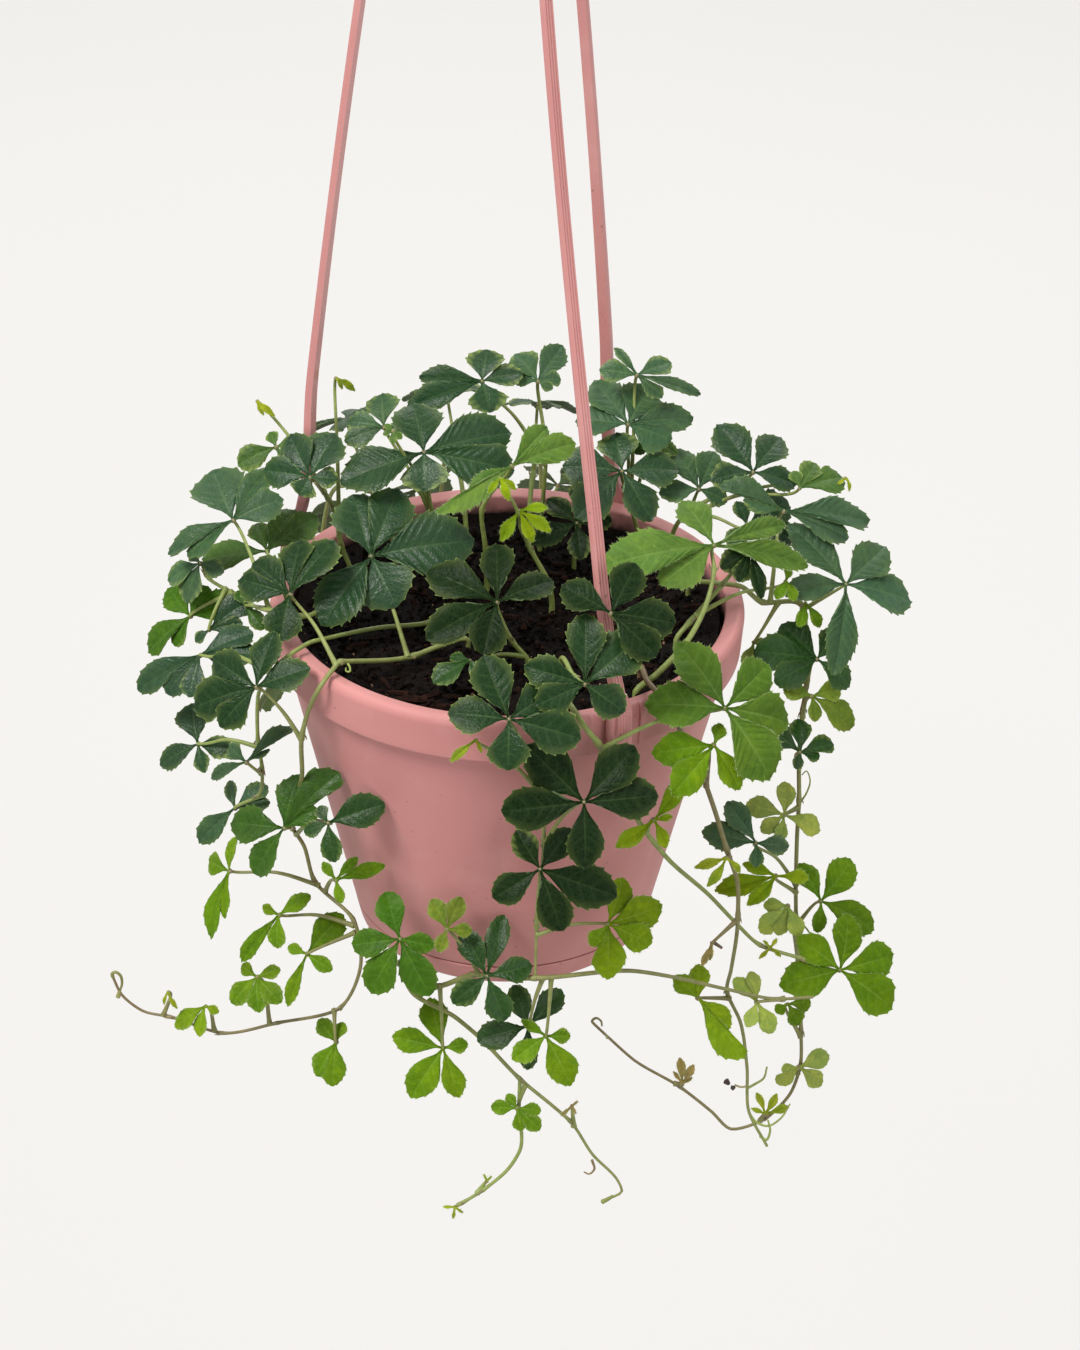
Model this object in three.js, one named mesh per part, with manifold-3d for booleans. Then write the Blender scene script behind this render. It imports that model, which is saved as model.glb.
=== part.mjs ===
// A potted sugar vine: a pink hanging pot with its saucer, three hanger arms and hook, soil, and a trailing
// climber with five-fingered leaves. Millimetres, +Z up. The whole part's origin is the seat of the hook.
import * as THREE from "three";
import { mergeVertices } from "three/addons/utils/BufferGeometryUtils.js";
import Module from "manifold-3d";

const wasm = await Module();
wasm.setup();

// Driving dimensions. Heights are measured from the rim's top, which the group below hangs under the hook.
const HOOK_SEAT = 436;
const GAP = 0.3;
const POT = {
  rimRadius: 75,
  rimInner: 68.8,
  rimRound: 1.5,
  rimEdge: 2,
  bandHeight: 15,
  bandFoot: 74,
  neckRadius: 70.6,
  footRadius: 48.7,
  baseBevel: 1.6,
  wall: 1.8,
  floor: 2.2,
  midHeight: 60,
  shoulder: 108,
  fluteCount: 12,
  fluteDepth: 0.9,
  sides: 34,
};
const SAUCER = { height: 7, footRadius: 47, wall: 1.5, floor: 1.5 };
const DRAIN = { count: 6, radius: 1.7, circle: 30, sides: 6 };
const SOIL = { top: -9.5, play: 1.6, bevel: 3.5, shelf: 3, swell: 0.7, rings: 2, sides: 17 };
const STEM_HOLE = { depth: 15, play: 1.2, sides: 4, above: 2, clear: 2 };
const ARM = { width: 4.2, depth: 3, bendHeight: 12, groove: 0.5, ribSpread: 0.8, standOff: 1.5 };
const STRAP = { width: 8.4, depth: 2.2, top: 2.5, bottom: -15.5, standOff: 1.4 };
const POCKET = { width: 16, depth: 1.2, overreach: 5, height: 30 };
const HUB = { shift: -7, bottom: 388, top: 402, radius: 10, crown: 4, sides: 18 };
const HUB_SLOT = { depth: 11, height: 12, lift: 3, armInset: 2.5, armLift: 4 };
const HOOK = { wire: 2.2, radius: 15, sides: 6, from: -60, to: 195, step: 30, sunk: 3 };
const BACK_STEMS = { azimuths: [-135, -163, 173], radius: 1.2, seed: 11, leafSize: 15, reach: 10 };
const BACK_ROUTE = {
  swing: 6,
  rootReach: 52,
  crestReach: 62,
  crestHeight: 10,
  crestSpread: 5,
  rimReach: 80,
  rimHeight: 8,
  outReach: 88,
  outDrop: 16,
  endReach: 85,
  endTurn: 3,
  fall: 40,
  fallSpread: 60,
};
const PETIOLE_RADIUS = 0.85;
const STEM_SIDES = 3;
const STEM_LIFT = 3;
const STEM_TAPER = 0.7;
const RIM_CLEARANCE = 2;
const BENT_PETIOLE = 22;
const PETIOLE_RISE = 0.08;
const KNEE = 2.4;
const SPROUT = 2.6;
const NOTCH_RADIUS = 1.4;
const BLADE = 0.8;

// Each arm's name, its azimuth, its distance from the pot's axis just above the rim, and how far it bows out.
const ARMS = [
  ["front", 27.4, 71.4, -9],
  ["left", -111.3, 72.6, 4.5],
  ["rear", 152.2, 72, 6],
];

// The sight that the plant is set out by: a picture point and one distance give a place in the pot's frame.
const SIGHT = {
  width: 1080,
  height: 1350,
  focal: 4300,
  range: 1371,
  pitch: 31,
  roll: -1,
  aimX: 10.7,
  aimZ: -28,
};
const RADIAN = Math.PI / 180;
const forward = new THREE.Vector3(0, Math.cos(SIGHT.pitch * RADIAN), -Math.sin(SIGHT.pitch * RADIAN));
const rightward = new THREE.Vector3(1, 0, 0);
const upward = new THREE.Vector3().crossVectors(rightward, forward);
const eye = new THREE.Vector3(SIGHT.aimX, 0, SIGHT.aimZ).addScaledVector(forward, -SIGHT.range);

function sightLine(u, v) {
  const across = (u - SIGHT.width / 2) / SIGHT.focal;
  const up = (SIGHT.height / 2 - v) / SIGHT.focal;
  const c = Math.cos(SIGHT.roll * RADIAN);
  const s = Math.sin(SIGHT.roll * RADIAN);
  return forward
    .clone()
    .addScaledVector(rightward, c * across + s * up)
    .addScaledVector(upward, c * up - s * across);
}

// The point seen at (u, v) that lies at depth y, at height z, or at distance r from the pot's axis.
function deep(u, v, y) {
  const ray = sightLine(u, v);
  return eye.clone().addScaledVector(ray, (y - eye.y) / ray.y);
}

function above(u, v, z) {
  const ray = sightLine(u, v);
  return eye.clone().addScaledVector(ray, (z - eye.z) / ray.z);
}

function around(u, v, r) {
  const ray = sightLine(u, v);
  const a = ray.x ** 2 + ray.y ** 2;
  const b = 2 * (eye.x * ray.x + eye.y * ray.y);
  const c = eye.x ** 2 + eye.y ** 2 - r ** 2;
  return eye.clone().addScaledVector(ray, (-b - Math.sqrt(b * b - 4 * a * c)) / (2 * a));
}

function lying(u, v) {
  return above(u, v, SOIL.top + STEM_LIFT);
}

// The leafy stems. Each has a name, a tone, a radius, its route, its leaves and, for a branch, the name of
// the stem it grows from. A leaf gives the point of the route that its petiole grows from, its hub as a
// picture point and depth, the way its face looks (azimuth from the front, and elevation, in degrees), and
// the tips of its leaflets as picture points, with a share of the usual width where a leaflet is narrow.
const STEMS = [
  ["left_runner", "mid", 1.2, [
    lying(468, 640), lying(440, 646), lying(414, 656), above(340, 662, 2.2), above(334, 668, 2.4),
    around(322, 684, 77.8), around(308, 712, 78.6), around(302, 735, 79), around(302, 776, 76),
    around(289, 823, 73), deep(304, 846, -24), deep(314, 880, -27), deep(353, 919, -37),
    deep(361, 962, -37), deep(341, 1007, -34), deep(277, 1023, -28), deep(222, 1033, -24),
    deep(171, 1017, -22), deep(143, 1011, -20), deep(122, 995, -20), deep(112, 975, -20),
  ], [
    [2, 371, 556, -8, -8, 48, [352, 492, 1.15], [398, 486], [473, 537], [396, 605, 1.45], [320, 622]],
    [3, 290, 594, -24, -20, 52, [299, 537], [333, 538], [237, 577], [279, 639, 1.15], [252, 560]],
    [7, 256, 687, -50, -30, 38, [210, 657], [272, 630], [307, 667], [189, 706], [217, 726]],
    [9, 284, 828, -47, -30, 30, [296, 774], [334, 772], [227, 822], [251, 874], [315, 808]],
    [9, 328, 823, -55, -20, 35, [382, 803], [333, 862], [318, 806], [303, 832]],
    [11, 229, 871, -25, -50, 30, [205, 938, 0.5], [221, 918, 0.5], [206, 860], [232, 836, 0.8]],
    [11, 336, 880, -49, -10, 35, [384, 865, 0.55], [357, 857, 0.6], [341, 903, 0.8], [322, 862, 0.7]],
    [12, 279, 915, -28, -30, 35, [238, 961, 0.45], [275, 948, 0.9], [261, 906, 0.7], [308, 895, 0.8]],
    [12, 307, 954, -36, -20, 35, [341, 914], [331, 970, 0.9], [285, 1006, 0.5], [287, 946, 0.8]],
    [15, 257, 977, -30, -30, 40, [230, 1003], [257, 1012], [279, 1002], [240, 965], [279, 969]],
    [14, 336, 1042, -38, -10, 40, [316, 1076], [331, 1086], [318, 1019], [343, 1022]],
    [16, 205, 1006, -26, -30, 40, [173, 1027], [197, 1036], [218, 1012]],
    [17, 168, 992, -24, -20, 40, [162, 1004], [175, 1008]],
  ]],
  ["left_creeper", "mid", 1.1, [
    lying(452, 612), lying(426, 623), lying(385, 627), above(314, 641, 2.2), above(297, 650, 2.6),
    above(288, 656, 2.5), around(275, 672, 81), deep(258, 697, -24), deep(258, 741, -24),
    deep(262, 768, -22), deep(258, 796, -18),
  ], [
    [6, 200, 655, -14, -30, 45, [133, 687, 0.65], [164, 692], [188, 696], [250, 631], [253, 652]],
    [8, 198, 744, -14, -30, 40, [190, 702, 1.4], [157, 764], [203, 772], [233, 749]],
    [9, 246, 762, -34, -50, 50, [208, 776, 0.55], [290, 726], [226, 744, 0.8], [268, 748, 0.8]],
    [10, 235, 808, -14, -30, 35, [196, 842, 0.75], [266, 786], [268, 802, 0.8], [228, 780, 0.8]],
  ]],
  ["left_spray", "dark", 1.2, [
    lying(330, 610), above(300, 616, 6), above(272, 611, 8), deep(240, 596, 2), deep(206, 575, 4),
  ], [
    [2, 233, 520, 4, -25, 50,
      [211, 467, 1.25], [266, 464, 0.6], [165, 551, 0.6], [185, 554, 0.8], [281, 496]],
    [4, 200, 563, 6, -40, 45, [165, 579, 1.2], [184, 601, 1.3], [190, 553], [222, 571]],
    [1, 267, 551, 10, -25, 55, [200, 557], [256, 521], [292, 506], [316, 514]],
    [3, 190, 616, 4, -35, 40, [145, 650], [172, 645], [166, 586], [232, 598], [206, 585]],
    [3, 209, 630, -4, -25, 40, [250, 597], [241, 622], [194, 641]],
    [2, 246, 606, -3, -25, 45, [263, 628], [236, 590]],
  ]],
  ["crown_left", "dark", 1.2, [
    lying(352, 575), deep(341, 545, 24), deep(333, 507, 26), deep(322, 488, 28),
  ], [
    [3, 310, 477, 10, -15, 40,
      [288, 433, 1.1], [334, 432, 1.35], [262, 469], [299, 495, 1.8], [337, 478, 1.2]],
    [2, 257, 401, 34, -20, 40, [272, 414], [262, 414]],
    [1, 336, 378, 34, 10, 40, [356, 389], [343, 388]],
    [2, 276, 447, 42, -10, 50, [237, 463], [300, 440], [270, 431], [290, 464]],
  ]],
  ["crown_middle", "dark", 1.3, [
    lying(448, 575), deep(443, 548, 22), deep(432, 512, 17),
  ], [
    [2, 424, 452, 13, 0, 50, [413, 401, 1.5], [340, 479], [425, 490, 1.8], [514, 468], [511, 428]],
    [1, 384, 427, 26, -10, 50, [344, 440], [347, 420], [381, 392, 1.5], [403, 430]],
    [1, 393, 431, 6, 0, 50, [385, 424], [402, 438], [393, 443], [383, 434]],
  ]],
  ["crown_back", "dark", 1.2, [
    lying(540, 540), deep(543, 500, 46), deep(546, 450, 46),
  ], [
    [2, 538, 381, 45, 5, 50, [516, 352, 1.4], [563, 343, 0.9], [561, 378, 1.3], [513, 378], [553, 388]],
    [2, 482, 381, 40, 0, 50, [419, 374, 0.6], [487, 348, 1.6], [523, 371], [406, 404, 0.6], [491, 411, 1.7]],
  ]],
  ["crown_young", "fresh", 1.5, [
    lying(552, 605), deep(548, 582, 5), deep(531, 550, 3), deep(521, 527, 2),
  ], [
    [3, 519, 511, 0, 0, 45, [501, 539], [533, 540], [551, 529], [548, 505]],
    [2, 500, 478, -9, 0, 45, [488, 492], [509, 499], [516, 488]],
  ]],
  ["crown_light", "fresh", 1.4, [
    lying(487, 585), deep(485, 545, 12), deep(482, 510, 10),
  ], [
    [2, 512, 466, 3, 15, 50, [578, 438, 0.75], [549, 423, 0.75], [439, 508, 0.75], [470, 486, 0.6]],
  ]],
  ["crown_dark", "dark", 1.3, [
    lying(528, 662), deep(512, 641, -28),
  ], [
    [1, 497, 602, -28, 0, 58,
      [497, 541, 0.78], [427, 567, 0.78], [426, 635, 0.74], [483, 652], [553, 577, 0.9]],
    [0, 470, 660, -42, 0, 60, [433, 680], [450, 656], [478, 674]],
  ]],
  ["crown_arm", "dark", 1.3, [
    lying(640, 655), deep(634, 640, -46), deep(622, 624, -66),
  ], [
    [2, 611, 613, -72, 5, 42, [562, 585], [637, 562], [676, 622], [657, 655]],
  ]],
  ["crown_front", "dark", 1.3, [
    lying(560, 668), deep(574, 676, -62),
  ], [
    [1, 585, 684, -81.5, 5, 32, [586, 613, 0.87], [641, 636], [625, 712, 1.15], [525, 666, 0.85], [536, 705]],
  ]],
  ["crown_right", "dark", 1.3, [
    lying(640, 545), deep(636, 525, 40), deep(626, 490, 35),
  ], [
    [2, 622, 471, 30, 5, 50, [616, 431, 1.45], [563, 464, 1.15], [679, 468, 1.15], [576, 516], [652, 519]],
    [2, 628, 424, 40, 5, 50, [594, 378], [650, 386, 1.5], [694, 416, 0.72], [672, 438, 1.35], [576, 418]],
    [2, 637, 375, 44, 10, 50, [600, 368], [615, 346, 0.4], [672, 360], [702, 391, 0.4], [663, 396]],
    [2, 652, 441, 44, 5, 50, [678, 453], [634, 452], [641, 431]],
  ]],
  ["crown_corner", "dark", 1.3, [
    lying(668, 556), deep(680, 520, 38), deep(700, 505, 36),
  ], [
    [2, 753, 472, 30, 20, 50, [719, 422], [782, 434], [712, 478], [798, 482]],
    [2, 699, 489, 34, 15, 50, [675, 447], [716, 449], [660, 492], [728, 500]],
    [2, 747, 525, 22, 25, 50, [738, 500], [790, 498], [796, 537], [730, 545]],
    [2, 800, 488, 24, 30, 50, [845, 474], [817, 461], [794, 470]],
    [2, 846, 478, 31, 30, 40, [852, 490], [838, 484]],
  ]],
  ["crown_rear", "dark", 1.3, [
    lying(574, 560), deep(576, 540, 32),
  ], [
    [1, 577, 523, 30, 0, 55, [547, 497], [533, 540], [581, 558], [612, 518], [600, 497]],
    [1, 588, 480, 42, 0, 50, [562, 470], [576, 450], [604, 458], [599, 504], [570, 496]],
  ]],
  ["right_light", "fresh", 1.7, [
    lying(636, 692), deep(655, 676, -41), deep(688, 640, -32), deep(706, 605, -22), deep(714, 570, -14),
  ], [
    [4, 714, 545, -8, 20, 52, [684, 497], [605, 559, 0.8], [663, 581], [789, 519, 0.4], [812, 561, 0.45]],
  ]],
  ["right_second", "dark", 1.3, [
    lying(676, 640), deep(690, 622, -10), deep(722, 585, -7),
  ], [
    [2, 750, 551, -4, 25, 50, [763, 597, 0.55], [722, 567], [739, 580], [775, 545]],
    [1, 786, 581, -4, 25, 50, [796, 600], [777, 598], [790, 566]],
  ]],
  ["front_runner", "dark", 1.3, [
    lying(536, 668), above(539, 697, 3.2), above(541, 710, 2.8), around(541, 733, 79.5),
    around(541, 783, 79), around(544, 840, 71), around(537, 920, 64), deep(535, 978, -66),
  ], [
    [4, 509, 719, -86, 0, 36, [483, 655], [448, 712], [508, 770, 1.25], [581, 738], [556, 690, 1.1]],
    [4, 476, 740, -82, 0, 40, [450, 760], [482, 752]],
    [5, 584, 802, -88, 5, 28, [527, 746], [636, 747], [659, 796], [586, 869], [502, 812]],
    [6, 540, 869, -78, 0, 28, [493, 899], [562, 932], [617, 897], [516, 831], [571, 829]],
    [6, 608, 924, -66, 10, 32, [664, 906], [653, 944], [625, 878], [591, 946], [609, 980]],
  ]],
  ["under_runner", "mid", 1.3, [
    deep(398, 962, -54), deep(433, 986, -56), deep(472, 975, -60), deep(535, 978, -66),
    deep(634, 971, -62), deep(673, 977, -58), deep(726, 989, -53), deep(777, 999, -50),
    deep(813, 997, -48),
  ], [
    [0, 400, 939, -60, -10, 30, [385, 892], [351, 945], [369, 993], [429, 996], [434, 946]],
    [2, 447, 929, -65, 0, 32, [432, 899], [461, 897], [472, 931], [438, 952]],
    [2, 487, 976, -68, 0, 32, [463, 930, 0.9], [503, 915, 0.68], [532, 966], [505, 1021], [452, 1003]],
    [1, 443, 1048, -58, 0, 34, [429, 998], [392, 1036, 0.9], [410, 1098], [459, 1098, 0.8], [468, 1044]],
    [3, 528, 1026, -62, 0, 34, [477, 1040], [514, 985], [562, 990, 0.9], [528, 1070, 0.8]],
    [3, 546, 1036, -67, 10, 34, [571, 1036], [572, 1086], [513, 1060], [522, 1020, 0.6]],
    [7, 757, 1002, -50, 20, 38, [735, 978], [752, 971], [748, 1027], [774, 1033]],
  ], "front_runner"],
  ["low_runner", "fresh", 1.1, [
    deep(400, 964, -54), deep(412, 992, -54), deep(455, 1017, -54), deep(478, 1036, -54),
    deep(520, 1079, -56), deep(554, 1107, -56),
    deep(570, 1121, -56), deep(593, 1155, -56), deep(618, 1181, -56), deep(622, 1191, -56),
    deep(602, 1201, -56),
  ], [
    [4, 517, 1108, -60, 0, 36, [491, 1107], [507, 1094], [521, 1131], [540, 1130], [541, 1111]],
    [6, 572, 1106, -58, 0, 36, [561, 1116], [578, 1101], [576, 1114]],
  ], "front_runner"],
  ["low_twig", "fresh", 0.9, [
    deep(520, 1079, -56), deep(519, 1107, -56), deep(520, 1150, -56), deep(509, 1168, -56),
    deep(483, 1190, -56), deep(462, 1203, -56),
  ], [
    [5, 455, 1207, -58, 0, 36, [443, 1207], [453, 1219], [463, 1213]],
    [4, 487, 1181, -56, 10, 40, [492, 1176], [484, 1174]],
  ], "front_runner"],
  ["rim_runner", "fresh", 1.4, [
    lying(556, 690), above(566, 699, 3.4), above(573, 709, 3), around(584, 726, 80),
    around(598, 743, 80), around(612, 775, 79), around(628, 803, 77), around(643, 828, 75),
    deep(669, 860, -57), deep(708, 894, -50), deep(735, 922, -44), deep(760, 945, -40),
    deep(800, 958, -38),
  ], [
    [4, 725, 708, -62, 25, 38, [681, 640], [650, 702], [772, 662], [794, 721], [776, 778]],
    [7, 654, 820, -70, 15, 34, [619, 847], [668, 848], [685, 781], [674, 816, 0.8]],
    [12, 840, 970, -36, 25, 36, [852, 913], [897, 955], [896, 1008], [783, 985], [800, 937]],
    [11, 770, 948, -42, 10, 40, [760, 958], [782, 956], [764, 940], [778, 938]],
  ]],
  ["right_brown", "fresh", 1.3, [
    lying(640, 672), above(647, 681, 3.2), above(655, 690, 3), around(670, 710, 82),
    around(686, 742, 82), deep(704, 780, -54), deep(714, 808, -53), deep(727, 850, -55),
    deep(737, 880, -57), deep(738, 915, -57), deep(731, 970, -46), deep(727, 992, -42),
    deep(740, 1021, -42), deep(747, 1067, -42), deep(749, 1112, -42), deep(767, 1146, -42),
  ], [
    [5, 714, 745, -66, 20, 38, [654, 752], [674, 794], [742, 789], [722, 723]],
    [7, 726, 858, -62, 20, 36, [698, 867], [711, 886], [743, 872]],
    [11, 698, 998, -52, 10, 34, [675, 976], [700, 964], [731, 1029], [747, 1058]],
    [9, 712, 943, -58, 0, 38, [702, 966], [710, 960]],
  ]],
  ["right_strand", "mid", 1.2, [
    lying(688, 592), above(716, 583, 5), above(740, 586, 5), deep(762, 602, 5), deep(800, 603, 5),
    deep(806, 640, 3), deep(807, 680, 0), deep(803, 710, -2), deep(799, 760, -4), deep(799, 800, -6),
    deep(797, 838, -8), deep(796, 878, -10), deep(796, 918, -12), deep(798, 955, -14),
    deep(800, 990, -16), deep(801, 1030, -18), deep(800, 1067, -20), deep(790, 1094, -22),
    deep(767, 1117, -24), deep(754, 1124, -26), deep(731, 1129, -28), deep(712, 1112, -28),
    deep(680, 1087, -28), deep(634, 1060, -30), deep(608, 1037, -30), deep(594, 1024, -30),
  ], [
    [4, 846, 584, 4, 35, 45, [888, 544], [792, 521, 0.8], [787, 589, 0.7], [916, 598], [838, 672, 0.7]],
    [3, 784, 511, 12, 30, 50, [874, 517, 0.7], [852, 535, 0.8], [722, 483, 0.8], [745, 498, 0.8]],
    [6, 817, 659, -4, 25, 40, [783, 624], [841, 630], [777, 681], [852, 685], [757, 650]],
    [7, 812, 696, -9, 30, 40, [842, 689], [857, 725], [817, 721], [785, 688]],
    [8, 800, 752, -14, 25, 40, [801, 718], [768, 727], [835, 743], [797, 769], [821, 756]],
    [9, 784, 815, -12, 25, 40, [748, 803], [787, 781], [762, 831], [822, 829], [780, 840]],
    [11, 756, 843, -28, 15, 40, [728, 801], [703, 831], [757, 867], [790, 846]],
    [11, 776, 876, -22, 15, 36, [745, 863], [750, 905], [719, 890], [812, 877]],
    [12, 821, 901, -16, 30, 38, [855, 858], [878, 928], [801, 863], [819, 932]],
    [13, 788, 906, -24, 10, 38, [761, 932], [778, 935], [800, 936], [764, 905]],
    [15, 788, 1004, -22, 20, 38, [812, 1002, 1.3], [800, 1025, 1.3], [776, 1012, 1.3]],
    [16, 799, 1067, -22, 15, 40, [830, 1054], [777, 1083], [823, 1085], [782, 1070]],
    [18, 765, 1114, -28, 10, 40, [758, 1092], [779, 1093], [791, 1106], [752, 1108]],
    [22, 682, 1084, -30, 10, 40, [681, 1057, 1.3], [695, 1064, 1.3], [693, 1077], [674, 1071]],
    [4, 806, 603, -1, 30, 45, [822, 626], [800, 626]],
    [3, 754, 642, 2, 25, 45, [779, 660], [746, 669], [766, 641]],
  ]],
];

const TONES = { dark: 0x2f5240, mid: 0x4c7a3c, fresh: 0x86a83c };

// Leaflet outlines: each pair gives how far along the rib a point of the edge lies and how far out.
const LARGE_EDGE = [[0.42, 0.76], [0.77, 0.96]];
const SMALL_EDGE = [[0.64, 1]];
const LARGE_LEAF = 21.5;
const WIDTH_SHARE = 0.3;
const SHORT_LEAFLET = 1.3;
const FOLD = 0.14;
const DROOP = 0.12;
const PALM = [[0, 1], [62, 0.95], [-62, 0.95], [132, 0.78], [-132, 0.78]];

function leafLook(color) {
  return { color, roughness: 0.55, metalness: 0 };
}

function randomFrom(seed) {
  let state = seed;
  return () => {
    state = (state + 0x6d2b79f5) | 0;
    let t = Math.imul(state ^ (state >>> 15), 1 | state);
    t = (t + Math.imul(t ^ (t >>> 7), 61 | t)) ^ t;
    return ((t ^ (t >>> 14)) >>> 0) / 4294967296;
  };
}

function facing(azimuth, elevation) {
  const a = azimuth * RADIAN;
  const e = elevation * RADIAN;
  return new THREE.Vector3(Math.sin(a) * Math.cos(e), -Math.cos(a) * Math.cos(e), Math.sin(e));
}

function polar(radius, azimuth, z) {
  return new THREE.Vector3(radius * Math.sin(azimuth * RADIAN), -radius * Math.cos(azimuth * RADIAN), z);
}

function solidOf(geometry) {
  const bare = geometry.clone();
  bare.deleteAttribute("normal");
  bare.deleteAttribute("uv");
  const merged = mergeVertices(bare, 1e-3);
  return new wasm.Manifold(
    new wasm.Mesh({
      numProp: 3,
      vertProperties: merged.attributes.position.array,
      triVerts: new Uint32Array(merged.index.array),
    }),
  );
}

function meshFrom(name, solid, look) {
  const cut = solid.getMesh();
  const geometry = new THREE.BufferGeometry();
  geometry.setAttribute("position", new THREE.BufferAttribute(new Float32Array(cut.vertProperties), 3));
  geometry.setIndex(new THREE.BufferAttribute(new Uint32Array(cut.triVerts), 1));
  geometry.computeVertexNormals();
  const mesh = new THREE.Mesh(geometry, new THREE.MeshStandardMaterial(look));
  mesh.name = name;
  return mesh;
}

function joined(solids) {
  return solids.reduce((whole, piece) => whole.add(piece));
}

// A closed solid through rings of points. Each ring runs anticlockwise as seen from the next one.
function loft(rings) {
  const count = rings[0].length;
  const last = (rings.length - 1) * count;
  const index = [];
  for (let start = 0; start < last; start += count) {
    for (let j = 0; j < count; j++) {
      const a = start + j;
      const b = start + ((j + 1) % count);
      index.push(a, b, b + count, a, b + count, a + count);
    }
  }
  for (let j = 1; j < count - 1; j++) {
    index.push(0, j + 1, j);
    index.push(last, last + j, last + j + 1);
  }
  const geometry = new THREE.BufferGeometry();
  const positions = rings.flat().flatMap((point) => point.toArray());
  geometry.setAttribute("position", new THREE.Float32BufferAttribute(positions, 3));
  geometry.setIndex(index);
  return solidOf(geometry);
}

// A round rod, straight between the given points, that tapers from one radius to the other.
function rod(points, radius, endRadius, sides) {
  const last = points.length - 1;
  const direction = (i) => {
    const from = points[Math.min(i, last - 1)];
    return points[Math.min(i + 1, last)].clone().sub(from).normalize();
  };
  const start = direction(0);
  let side = new THREE.Vector3(start.z, start.x, start.y).cross(start).normalize();
  const rings = points.map((centre, i) => {
    const along = direction(Math.max(i - 1, 0)).add(direction(i)).normalize();
    side = side.clone().addScaledVector(along, -side.dot(along)).normalize();
    const other = new THREE.Vector3().crossVectors(along, side);
    const reach = radius + ((endRadius - radius) * i) / last;
    return Array.from({ length: sides }, (_, k) => {
      const turn = (2 * Math.PI * k) / sides;
      return centre
        .clone()
        .addScaledVector(side, reach * Math.cos(turn))
        .addScaledVector(other, reach * Math.sin(turn));
    });
  });
  return loft(rings);
}

// A leaf is one thin blade, cut into leaflets almost down to its hub. Every leaflet is folded along its rib,
// with its edges raised and its tip drooping, and no wider than the room between its neighbours.
function leafSolid({ hub, normal, tips, widths = [] }) {
  const first = tips[0].clone().sub(hub).normalize();
  const second = new THREE.Vector3().crossVectors(normal, first).normalize();
  const fingers = tips
    .map((tip, i) => {
      const arm = tip.clone().sub(hub);
      const angle = Math.atan2(arm.dot(second), arm.dot(first));
      return { length: arm.length(), angle, width: widths[i] ?? 1 };
    })
    .sort((one, other) => one.angle - other.angle);
  const longest = Math.max(...fingers.map(({ length }) => length));
  const edge = longest > LARGE_LEAF ? LARGE_EDGE : SMALL_EDGE;
  const place = (reach, angle, lift) =>
    hub
      .clone()
      .addScaledVector(first, reach * Math.cos(angle))
      .addScaledVector(second, reach * Math.sin(angle))
      .addScaledVector(normal, lift);
  const fingerCount = 2 * edge.length + 2;
  const rimCount = fingers.length * fingerCount;
  const rim = [];
  const faces = [];
  fingers.forEach(({ length, angle, width }, i) => {
    const before = fingers[(i + fingers.length - 1) % fingers.length].angle;
    const after = fingers[(i + 1) % fingers.length].angle;
    const room = [turnBetween(before, angle) / 2, turnBetween(angle, after) / 2];
    const halfWidth = Math.min(longest, length * SHORT_LEAFLET) * WIDTH_SHARE * width;
    const edgePoint = ([share, out], side) => {
      const along = share * length;
      const swing = Math.min(Math.atan2(out * halfWidth, along), 0.97 * room[side]);
      const reach = along / Math.cos(swing);
      const lift = length * DROOP * (share - 2 * share * share) + FOLD * along * Math.tan(swing);
      return place(reach, angle + (side === 0 ? -swing : swing), lift);
    };
    const notch = rim.length;
    const tip = notch + edge.length + 1;
    const nextNotch = (tip + edge.length + 1) % rimCount;
    rim.push(place(NOTCH_RADIUS, angle - room[0], 0));
    edge.forEach((point) => rim.push(edgePoint(point, 0)));
    rim.push(place(length, angle, -length * DROOP));
    [...edge].reverse().forEach((point) => rim.push(edgePoint(point, 1)));
    for (let k = notch; k < tip - 1; k++) faces.push([tip, k, k + 1]);
    for (let k = tip + 1; k < tip + edge.length; k++) faces.push([tip, k, k + 1]);
    faces.push([tip, tip + edge.length, nextNotch], [tip, nextNotch, notch]);
    if (i > 1) faces.push([0, notch - fingerCount, notch]);
  });
  return bladeSolid(rim, faces, normal);
}

function turnBetween(from, to) {
  const turn = (to - from) % (2 * Math.PI);
  return turn <= 0 ? turn + 2 * Math.PI : turn;
}

// The same faces make the upper and the lower side, and a wall runs round the rim.
function bladeSolid(rim, faces, normal) {
  const positions = [];
  [BLADE / 2, -BLADE / 2].forEach((lift) =>
    rim.forEach((p) => positions.push(...p.clone().addScaledVector(normal, lift).toArray())),
  );
  const below = rim.length;
  const index = [];
  faces.forEach(([a, b, c]) => index.push(a, b, c, below + a, below + c, below + b));
  for (let i = 0; i < below; i++) {
    const next = (i + 1) % below;
    index.push(i, below + i, below + next, i, below + next, next);
  }
  const geometry = new THREE.BufferGeometry();
  geometry.setAttribute("position", new THREE.Float32BufferAttribute(positions, 3));
  geometry.setIndex(index);
  return solidOf(geometry);
}

// The last points of what carries a leaf: it bends up into the hub from below the blade.
function kneeAndEnd(start, { hub, normal }) {
  const drop = Math.min(KNEE, 0.3 * hub.distanceTo(start));
  return [hub.clone().addScaledVector(normal, -drop), hub.clone().addScaledVector(normal, -0.1)];
}

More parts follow.
